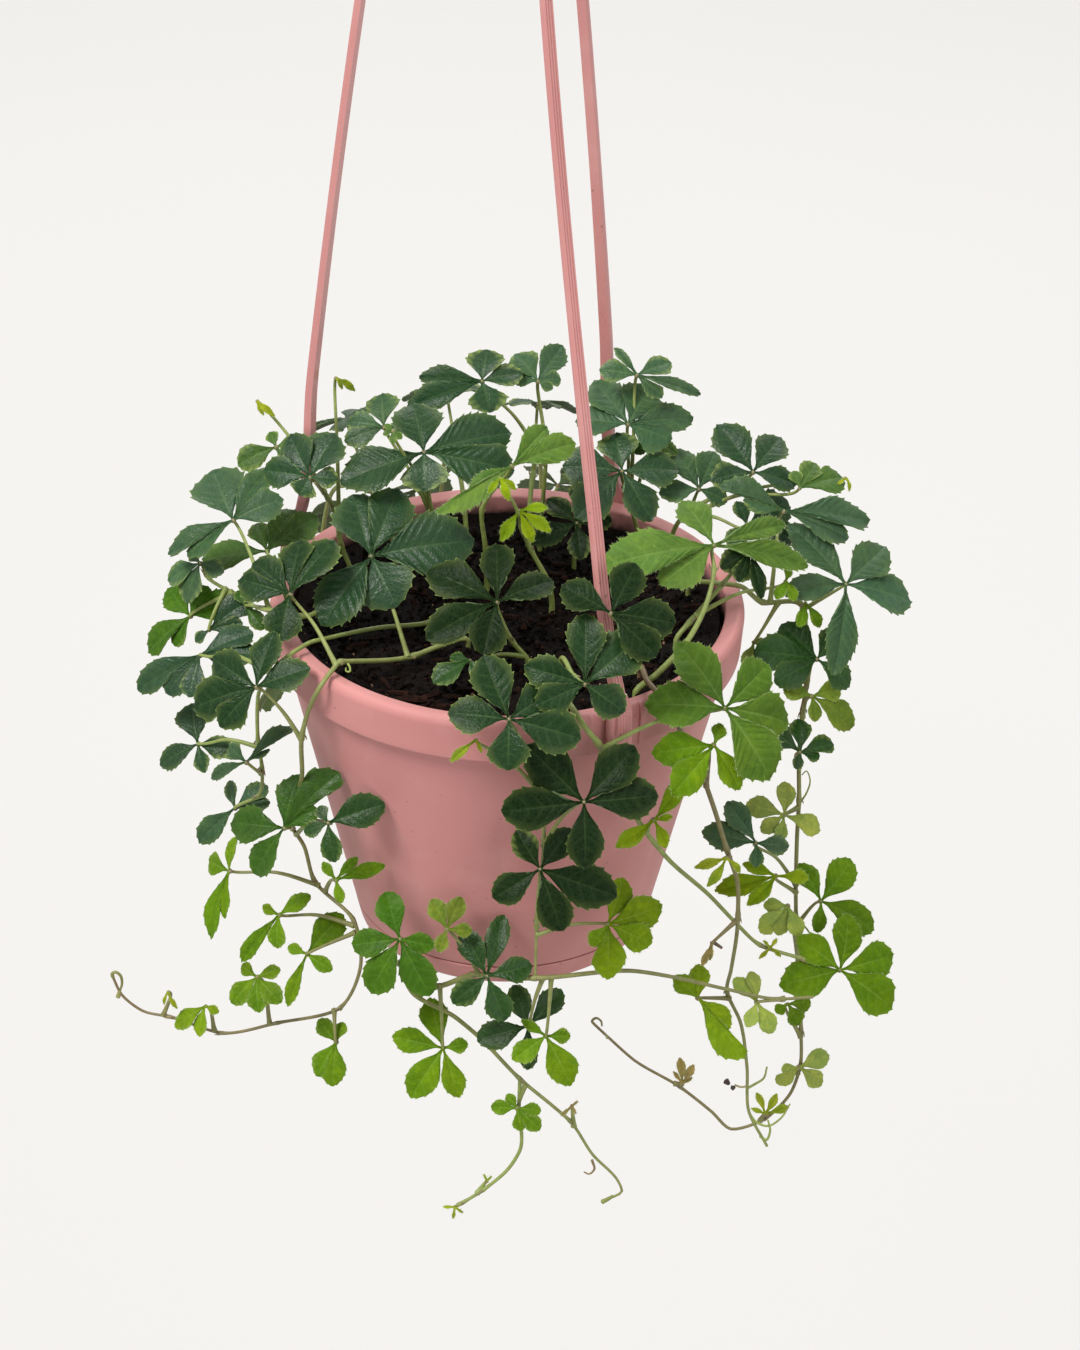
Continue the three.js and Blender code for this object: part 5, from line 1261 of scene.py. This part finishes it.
def arm_section(half, depth, ribs):
    """A section that is flat behind, with rounded ribs and grooves between them in front."""
    front = np.linspace(-1, 1, 41)
    wave = 0.5 + 0.5 * np.cos(math.pi * ribs * (front + 1) + math.pi)
    relief = depth / 2 - ARM["rib_depth"] * depth * (1 - wave**0.6) - 0.5 * depth * np.abs(front) ** 12
    return [(-half, -depth / 2), (half, -depth / 2), *zip(half * front[::-1], relief[::-1])]


def arm_form(azimuth, reach, bow):
    """An arm, which slims over its first third, and the strap that clips over the rim."""
    points, direction = arm_line(azimuth, reach, bow)
    line = smooth_line(points, ARM["step"])
    sideways = np.array([direction[1], -direction[0], 0.0])
    along = units(np.gradient(line, axis=0))
    outward = units(np.cross(along, sideways))
    section = np.array(arm_section(ARM["width"] / 2, ARM["depth"], ARM["ribs"]))
    slim = 1 - ARM["taper"] * np.minimum(np.linspace(0, 3, len(line)), 1)[:, None, None]
    around_line = sideways * section[None, :, :1] + outward[:, None] * section[None, :, 1:]
    rings = line[:, None] + slim * around_line
    form = Form()
    ends = np.array([line[0] - along[0] * 0.1, line[-1] + along[-1] * 0.1])
    form.add(np.concatenate([rings.reshape(-1, 3), ends]), tube_faces(*rings.shape[:2]))
    add_strap(form, azimuth)
    return form


def add_strap(form, azimuth):
    """The wide foot of the arm, with shoulders above the rim and ribs down its front."""
    low, bend = STRAP["foot"], STRAP["head"] - STRAP["shoulder"]
    outward = polar(1, azimuth, 0)
    sideways = np.array([-outward[1], outward[0], 0.0])
    rings = []
    for z in (*np.linspace(low, bend, 8), *np.linspace(bend + 0.4, bend + STRAP["rise"], 14)):
        rise = np.clip((z - bend) / STRAP["rise"], 0, 1)
        half = STRAP["width"] / 2 * (1 - rise**2) + (ARM["width"] / 2 - 0.1) * rise**2
        half -= STRAP["toe_inset"] * max(0, 1 - (z - low) / STRAP["toe"]) ** 2
        section = np.array(arm_section(half, STRAP["depth"], STRAP["ribs"]))
        centre = outward * (POT["rim_radius"] + STRAP["stand_off"]) + np.array([0, 0, z])
        rings.append(centre + sideways * section[:, :1] + outward * section[:, 1:])
    rings = np.array(rings)
    ends = np.array([rings[0].mean(axis=0), rings[-1].mean(axis=0)])
    faces = [group[:, ::-1] for group in tube_faces(*rings.shape[:2])]
    form.add(np.concatenate([rings.reshape(-1, 3), ends]), faces)


# The angles of the points along the hook's bend, as a range, and the slimming of the wire at its tip.
HOOK_TURN = (-60, 196, 15)
HOOK_TIP = [0.98, 0.88, 0.6]


def hook_form():
    """The boss in which the arms meet, and the wire that rises from it and curls into the hook."""
    centre_z = HOOK["seat"] + HOOK["wire"] - HOOK["radius"]
    profile = [
        (0, HUB["bottom"]), (HUB["radius"], HUB["bottom"]), (HUB["radius"], HUB["top"] - HUB["crown"]),
        (HUB["crown"], HUB["top"]), (0, HUB["top"]),
    ]
    form = Form()
    outline = divided(rounded(profile, [0, 1.2, 2, 1.2, 0]), 2)
    add_lathe(form, outline, even_azimuths(HUB["sides"]), hub_shape, (HUB["shift"], 0))
    points = [(0, 0, HUB["top"] - HOOK["sunk"]), (0, 0, centre_z - HOOK["radius"] - HOOK["sunk"])]
    for angle in range(*HOOK_TURN):
        a = math.radians(angle)
        points.append((HOOK["radius"] * math.cos(a), 0, centre_z + HOOK["radius"] * math.sin(a)))
    line = smooth_line(np.array(points) + np.array([HUB["shift"], 0, 0]), 2)
    radii = np.full(len(line), HOOK["wire"], float)
    radii[-len(HOOK_TIP):] *= HOOK_TIP
    add_tube(form, line, radii, HOOK["sides"], look=0)
    return form


def hub_shape(radius, height, turns):
    """Shallow grip flutes round the boss."""
    grip = 0.5 + 0.5 * np.cos(HUB["grips"] * turns)
    return radius - HUB["grip_depth"] * grip * (radius > HUB["radius"] - 2)


# Soil: a lumpy top, crumbs, flakes of bark and a few pale grains.
def soil_height(x, y):
    """The height of the lumpy top, which banks up towards the wall."""
    lumps = 0.7 * np.sin(x * 0.21) * np.cos(y * 0.17 + 1)
    lumps += 0.55 * np.sin(x * 0.63 + 1.3 * np.sin(y * 0.31)) * np.cos(y * 0.58 + 0.7)
    lumps += 0.35 * np.sin(x * 1.7 + 2.0 * np.sin(y * 0.9)) * np.sin(y * 1.9 + 1.1 * np.sin(x * 0.8))
    lumps += 0.2 * np.sin(x * 3.9 + y * 1.3) * np.sin(y * 4.3 - x * 0.9)
    outward = np.clip((np.hypot(x, y) - SOIL["bank_start"]) / SOIL["bank_reach"], 0, 1)
    bank = SOIL["bank"] * outward**2
    return SOIL["top"] + lumps + bank


def soil_body(reach):
    """The plug of soil with its lumpy top."""
    foot = POT["foot_radius"] - SAUCER["wall"] - POT["wall"] - SOIL["shelf"]
    bottom = POT_BASE + POT["floor"] + GAP
    crown = [(reach * (1 - i / SOIL["rings"]), SOIL["top"]) for i in range(SOIL["rings"])]
    side = [
        (foot, bottom), (foot + SOIL["shelf"] / 2, bottom + SOIL["bevel"]),
        (reach, -POT["band_height"] - SOIL["shelf"]),
    ]
    form = Form()
    profile = np.array([(0, bottom), *side, *crown, (0, SOIL["top"])], float)
    add_lathe(form, profile, even_azimuths(SOIL["sides"]))
    points = form.points[0]
    raised = points[:, 2] > SOIL["top"] - 0.01
    points[raised, 2] = soil_height(points[raised, 0], points[raised, 1])
    return form


def soil_form():
    """The plug of soil, strewn with crumbs, a few chips among them, grains of perlite and bark."""
    reach = POT["rim_inner"] - SOIL["play"]
    form = soil_body(reach)
    draw = random_from(SOIL["seed"])
    for _ in range(SOIL["crumbs"]):
        size = 0.5 + 1.3 * draw() ** 3
        kind = CHIP_TINT if draw() < SOIL["chip_share"] else PEAT_TINT
        shade = 0.35 + draw()
        add_crumb(form, reach, size, [shade * part for part in kind], draw)
    for _ in range(SOIL["perlite"]):
        add_crumb(form, reach, 0.22 + 0.55 * draw() ** 2, PERLITE_TINT, draw)
    for _ in range(SOIL["flakes"]):
        add_flake(form, scattered(reach - 6, draw), 2.5 + 5 * draw(), FLAKE_TINT, draw)
    for u, v, length in BARK:
        add_flake(form, above(u, v, SOIL["top"])[:2], length, BARK_TINT, draw)
    return form


# A tint multiplies the colour of the peat.
PEAT_TINT = (1, 1, 1)
CHIP_TINT = (4.2, 2.8, 2.2)
PERLITE_TINT = (46, 43, 38)
FLAKE_TINT = (2.6, 1.8, 1.4)
BARK_TINT = (4.0, 2.4, 1.9)
CRUMB_POINTS = np.array([[0, 0, 1], [0, 0, -1], [1, 0, 0], [-1, 0, 0], [0, 1, 0], [0, -1, 0]], float)
CRUMB_FACES = [[0, 2, 4], [0, 4, 3], [0, 3, 5], [0, 5, 2], [1, 4, 2], [1, 3, 4], [1, 5, 3], [1, 2, 5]]


def scattered(reach, draw):
    """A place drawn evenly from the round top of the soil."""
    radius, turn = (reach - 1.5) * math.sqrt(draw()), 2 * math.pi * draw()
    return radius * math.cos(turn), radius * math.sin(turn)


def add_crumb(form, reach, size, tint, draw):
    """A crumb: an eight-sided grain, stretched and turned by draws."""
    x, y = scattered(reach - size, draw)
    stretch = np.array([[0.6 + 0.8 * draw()] for _ in range(6)])
    points = CRUMB_POINTS * stretch * size
    points = points @ np.array(Matrix.Rotation(6.28 * draw(), 3, Vector((draw(), draw(), 0.3 + draw()))))
    form.add(points + [x, y, soil_height(x, y) + 0.3 * size], [CRUMB_FACES], tint)


# Larger chips of bark as picture points, and their lengths.
BARK = [
    (398, 694, 8), (412, 702, 11), (428, 700, 9), (441, 708, 10), (452, 699, 7), (386, 684, 6), (588, 668, 8),
    (652, 668, 7), (660, 640, 8), (694, 610, 7), (470, 716, 6), (330, 640, 6), (420, 715, 7),
]


# The outline of a flake, as places along it and half widths, in shares.
FLAKE = [(-0.5, 0.3), (-0.2, 0.8), (0.2, 1), (0.5, 0.4)]


def add_flake(form, place, length, tint, draw):
    """A splinter of bark that lies on the soil, widest past its middle."""
    x, y = place
    turn = 0.9 * (draw() - 0.5) if length > 6 else 2 * math.pi * draw()
    ahead = np.array([math.cos(turn), math.sin(turn), 0.25 * (draw() - 0.5)])
    line = np.array([ahead * length * share for share, _ in FLAKE]) + [x, y, soil_height(x, y) + 0.5]
    radii = 0.25 * length * np.array([half for _, half in FLAKE]) * (0.3 + 0.4 * draw())
    add_tube(form, line, radii, 5, tint, look=0)


# Materials. Each is made of procedural nodes. The tint and the marks of a mesh's points steer the leaves.
NOISE_ROUGHNESS = 0.55
VEIN_GREEN = (0.22, 0.31, 0.12)
RIM_GREEN = (0.30, 0.38, 0.10)
BACK_GREEN = (0.20, 0.28, 0.13)
FLECK_BROWN = (0.16, 0.09, 0.05)
ARM_GLOSS = 0.28
PINKS = [(0.465, 0.190, 0.182), (0.515, 0.220, 0.210)]
DUST = (0.68, 0.46, 0.42)
SPECK_BROWN = (0.12, 0.06, 0.045)
# The brown of earth and painted shade inside the pot's wall.
EARTH_AND_SHADE_BROWN = (0.030, 0.018, 0.014)
PEATS = [(0.0013, 0.0009, 0.0007), (0.0075, 0.0044, 0.0033)]
PAPERS = [(0.875, 0.866, 0.852), (0.890, 0.882, 0.870)]


class Look:
    """A material under construction, with a short name for each kind of node that it uses."""

    def __init__(self, name):
        self.material = bpy.data.materials.new(name)
        self.material.use_nodes = True
        self.tree = self.material.node_tree
        self.shader = next(n for n in self.tree.nodes if n.type == "BSDF_PRINCIPLED")

    def node(self, kind, inputs=(), **settings):
        made = self.tree.nodes.new(kind)
        for key, value in settings.items():
            setattr(made, key, value)
        for key, value in dict(inputs).items():
            self.feed(made.inputs[key], value)
        return made

    def feed(self, socket, value):
        if isinstance(value, bpy.types.NodeSocket):
            self.tree.links.new(value, socket)
        elif isinstance(value, tuple) and len(value) == 3 and socket.type == "RGBA":
            socket.default_value = (*value, 1)
        else:
            socket.default_value = value

    def set(self, **values):
        for key, value in values.items():
            self.feed(self.shader.inputs[key.replace("_", " ")], value)

    def place(self):
        return self.node("ShaderNodeTexCoord").outputs["Object"]

    def noise(self, scale, detail):
        inputs = {"Vector": self.place(), "Scale": scale, "Detail": detail, "Roughness": NOISE_ROUGHNESS}
        return self.node("ShaderNodeTexNoise", inputs).outputs["Fac"]

    def cells(self, scale, feature):
        made = self.node("ShaderNodeTexVoronoi", {"Vector": self.place(), "Scale": scale}, feature=feature)
        return made.outputs["Distance"]

    def math(self, operation, a, b=0.0, clamp=False):
        return self.node("ShaderNodeMath", {0: a, 1: b}, operation=operation, use_clamp=clamp).outputs[0]

    def times(self, a, b):
        return self.math("MULTIPLY", a, b)

    def span(self, value, low, high, to_low=0.0, to_high=1.0):
        return self.node(
            "ShaderNodeMapRange",
            {"Value": value, "From Min": low, "From Max": high, "To Min": to_low, "To Max": to_high},
        ).outputs[0]

    def mix(self, share, a, b, kind="MIX"):
        made = self.node("ShaderNodeMix", data_type="RGBA", blend_type=kind)
        self.feed(made.inputs[0], share)
        self.feed(made.inputs[6], a)
        self.feed(made.inputs[7], b)
        return made.outputs[2]

    def scaled(self, colour, by):
        """A colour with its red, green and blue each multiplied."""
        return self.mix(1.0, colour, by, "MULTIPLY")

    def marks(self):
        """How much of a vein, of the rim and of the underside a point shows."""
        found = self.node("ShaderNodeAttribute", attribute_name="marks").outputs["Color"]
        return self.node("ShaderNodeSeparateColor", {0: found}).outputs

    def tint(self):
        return self.node("ShaderNodeAttribute", attribute_name="tint").outputs["Color"]

    def bump(self, height, strength, distance, normal=None):
        made = self.node("ShaderNodeBump", {"Strength": strength, "Distance": distance, "Height": height})
        if normal:
            self.feed(made.inputs["Normal"], normal)
        return made.outputs["Normal"]


def leaf_material():
    """A mottled blade with a net of veins, a pale rim and a paler back. Dark leaves shine the most."""
    look = Look("leaf_blade")
    vein, rim, under = look.marks()[:3]
    tint = look.tint()
    cloud = look.noise(160, 4)
    net = look.span(look.cells(800, "DISTANCE_TO_EDGE"), 0.0, 0.3)
    mottles = [
        (look.span(cloud, 0.3, 0.7, 0.0, 0.65), (0.62, 0.72, 0.6)),
        (look.span(look.noise(90, 3), 0.45, 0.75, 0.0, 0.5), (1.7, 1.4, 0.9)),
        (look.span(look.noise(430, 3), 0.5, 0.72, 0.0, 0.42), (2.0, 1.65, 1.2)),
    ]
    colour = tint
    for share, change in mottles:
        colour = look.mix(share, colour, look.scaled(tint, change))
    pale = look.mix(0.4, look.scaled(tint, (2.4, 2.1, 1.9)), VEIN_GREEN)
    colour = look.mix(look.span(net, 0.0, 1.0, 0.07, 0.0), colour, pale)
    colour = look.mix(look.math("POWER", vein, 1.3), colour, pale)
    colour = look.mix(look.times(rim, look.span(cloud, 0.3, 0.6, 0.45, 1.0)), colour, RIM_GREEN)
    back = look.mix(0.42, look.scaled(tint, (1.9, 1.7, 1.8)), BACK_GREEN)
    look.set(Base_Color=look.mix(under, colour, back))
    look.set(Roughness=look.math("ADD", look.span(cloud, 0.25, 0.75, 0.31, 0.48), look.times(under, 0.2)))
    green = look.node("ShaderNodeSeparateColor", {0: tint}).outputs[1]
    sheen = look.times(look.span(green, 0.03, 0.13, 0.26, 0.03), look.span(green, 0.018, 0.036, 0.3, 1.0))
    look.set(Specular_IOR_Level=sheen)
    relief = look.bump(net, 0.3, 0.0002, look.bump(look.noise(330, 2), 0.36, 0.0005))
    look.set(Normal=look.bump(look.noise(1500, 2), 0.08, 0.0001, relief))
    look.set(Subsurface_Weight=0.05, Subsurface_Scale=0.0008, Subsurface_Radius=(0.5, 1.0, 0.2))
    return look.material


def stem_material():
    """A streaky stem with brown flecks."""
    look = Look("green_stem")
    tint = look.tint()
    streak = look.noise(420, 3)
    colour = look.mix(look.span(streak, 0.35, 0.7, 0.0, 0.6), tint, look.scaled(tint, (0.6, 0.62, 0.6)))
    colour = look.mix(look.span(look.noise(1300, 2), 0.62, 0.75, 0.0, 0.5), colour, FLECK_BROWN)
    look.set(Base_Color=colour, Roughness=look.span(streak, 0.3, 0.7, 0.42, 0.6))
    look.set(Normal=look.bump(streak, 0.4, 0.0002), Subsurface_Weight=0.1, Subsurface_Scale=0.001)
    return look.material


def plastic_material(name, gloss, soiled_and_shaded=False):
    """Moulded plastic with faint dust and specks, and if asked, earth and painted shade inside the pot's
    wall. The gloss takes its roughness down.
    """
    look = Look(name)
    broad = look.noise(14, 3)
    fine = look.noise(2400, 2)
    specks = look.math("LESS_THAN", look.cells(170, "F1"), 0.075)
    dust = look.noise(55, 5)
    colour = look.mix(look.span(broad, 0.3, 0.7), *PINKS)
    colour = look.mix(look.span(dust, 0.52, 0.75, 0.0, 0.14), colour, DUST)
    patches = look.span(look.noise(22, 2), 0.46, 0.6)
    colour = look.mix(look.times(look.times(specks, patches), 0.6), colour, SPECK_BROWN)
    # Earth and painted shade darken the inside of the wall, more so further down.
    if soiled_and_shaded:
        colour = look.mix(inner_earth_and_shade(look), colour, EARTH_AND_SHADE_BROWN)
    look.set(Base_Color=colour, Roughness=look.span(dust, 0.3, 0.7, 0.5 - gloss, 0.64 - gloss))
    look.set(Normal=look.bump(fine, 0.12, 0.00008, look.bump(broad, 0.2, 0.0008)))
    look.set(Subsurface_Weight=0.05, Subsurface_Scale=0.002, Specular_IOR_Level=0.35 + gloss)
    return look.material


# Earth and painted shade on the inside of the wall, in millimetres: how far beyond the wall's face still
# counts as inside, the depth down to which it shows, and the depths at which it starts and is full.
EARTH_AND_SHADE = dict(slack=0.5, foot=14, start=0.5, full=7.5)


def inner_earth_and_shade(look):
    """Earth clings to the inside of the wall, with painted shade there too, and both thin out upwards to the
    rim.
    """
    x, y, z = look.node("ShaderNodeSeparateXYZ", {0: look.place()}).outputs
    across = look.math("SUBTRACT", x, HUNG[0] * METRE)
    reach = look.math("SQRT", look.math("ADD", *(look.math("POWER", part, 2.0) for part in (across, y))))
    within = look.math("LESS_THAN", reach, (POT["rim_inner"] + EARTH_AND_SHADE["slack"]) * METRE)
    inside = look.times(within, look.math("GREATER_THAN", z, (HUNG[2] - EARTH_AND_SHADE["foot"]) * METRE))
    low = look.span(z, (HUNG[2] - EARTH_AND_SHADE["start"]) * METRE, (HUNG[2] - EARTH_AND_SHADE["full"]) * METRE)
    ragged = look.math("ADD", low, look.span(look.noise(130, 5), 0.3, 0.7, -0.45, 0.35), clamp=True)
    return look.times(look.times(inside, low), look.span(ragged, 0.1, 0.7))


def soil_material():
    """Dark rough peat. A grain's tint makes it paler."""
    look = Look("potting_soil")
    lumps = look.noise(380, 5)
    grit = look.noise(1900, 3)
    peat = look.mix(look.span(lumps, 0.3, 0.7), *PEATS)
    look.set(Base_Color=look.scaled(peat, look.tint()), Roughness=look.span(grit, 0.3, 0.7, 0.7, 0.98))
    look.set(Normal=look.bump(grit, 0.7, 0.0003, look.bump(lumps, 0.6, 0.001)))
    look.set(Specular_IOR_Level=0.09)
    return look.material


# The set: a pale floor far below, soft lights and the camera. Its lengths are metres.
FLOOR_Z = -7.0
FLOOR_HALF = 40
PLANT_MIDDLE = (0, 0, -0.47)
# Each light: its name, its place, the point it looks at, its size, its power and its colour.
LIGHTS = [
    ("key", (-1.2, -1.1, 1.7), PLANT_MIDDLE, 0.9, 68, (1, 0.985, 0.96)),
    ("fill", (1.5, -1.5, 0.3), PLANT_MIDDLE, 1.6, 11, (1, 1, 1)),
    ("back", (0.4, 1.6, 1.2), PLANT_MIDDLE, 1.4, 22, (1, 1, 1)),
    ("wash", (0, 12, 0), (0, 12, FLOOR_Z), 16, 290, (1, 1, 1)),
]
AIR = (1.0, 0.985, 0.965)
AIR_STRENGTH = 0.78


def make_camera():
    """The camera stands where the sight starts, and looks along it."""
    data = bpy.data.cameras.new("camera")
    data.sensor_fit = "AUTO"
    data.sensor_width = 36
    data.lens = SIGHT["focal"] / SIGHT["height"] * data.sensor_width
    data.clip_start, data.clip_end = 0.05, 60
    camera = add_object("camera", data)
    right = math.cos(ROLL) * RIGHTWARD - math.sin(ROLL) * UPWARD
    up = math.sin(ROLL) * RIGHTWARD + math.cos(ROLL) * UPWARD
    turned = Matrix([right, up, -FORWARD]).transposed().to_4x4()
    turned.translation = Vector((EYE + HUNG) * METRE)
    camera.matrix_world = turned
    bpy.context.scene.camera = camera


def area_light(name, place, aim, size, power, colour):
    data = bpy.data.lights.new(name, "AREA")
    data.shape = "DISK"
    data.size = size
    data.energy = power
    data.color = colour
    light = add_object(name, data)
    light.location = place
    light.rotation_euler = (Vector(aim) - Vector(place)).to_track_quat("-Z", "Y").to_euler()


def make_floor():
    """A wide floor of pale paper, far below the plant."""
    data = bpy.data.meshes.new("floor")
    corners = [(x * FLOOR_HALF, y * FLOOR_HALF, FLOOR_Z) for x, y in ((-1, -1), (1, -1), (1, 1), (-1, 1))]
    data.from_pydata(corners, [], [(0, 1, 2, 3)])
    floor = add_object("floor", data)
    look = Look("pale_paper")
    shade = look.mix(look.span(look.noise(0.25, 2), 0.3, 0.7), *PAPERS)
    look.set(Base_Color=shade, Roughness=look.span(look.noise(30, 2), 0.3, 0.7, 0.85, 0.95))
    data.materials.append(look.material)


def make_set():
    """The floor, the air's even light, and the lights."""
    make_floor()
    world = bpy.data.worlds.new("studio")
    world.use_nodes = True
    back = next(n for n in world.node_tree.nodes if n.type == "BACKGROUND")
    back.inputs["Color"].default_value = (*AIR, 1)
    back.inputs["Strength"].default_value = AIR_STRENGTH
    bpy.context.scene.world = world
    for light in LIGHTS:
        area_light(*light)
    bpy.context.scene.view_settings.view_transform = "Standard"
    bpy.context.scene.view_settings.look = "None"


def main():
    make_camera()
    make_set()
    plastic = plastic_material("pink_plastic", 0.0)
    # The pot's plastic, darkened inside its wall by earth and painted shade.
    soiled_and_shaded = plastic_material("pink_plastic_soiled", 0.0, True)
    glossy = plastic_material("pink_plastic_glossy", ARM_GLOSS)
    leaf, stem, soil = leaf_material(), stem_material(), soil_material()
    pot = piece("pot_fine", pot_form(), [soiled_and_shaded], ["pot"])
    drill(pot)
    piece("drip_saucer_fine", saucer_form(), [plastic], ["drip_saucer"])
    for name, *place in ARMS:
        node = "hanger_arm_" + name
        piece(node + "_fine", arm_form(*place), [glossy], [node])
    piece("hanger_hook_fine", hook_form(), [glossy], ["hanger_hook"])
    piece("soil_fine", soil_form(), [soil], ["soil"])
    leafy = plant_pieces(leaf, stem)
    print("leafy triangles", leafy)


main()
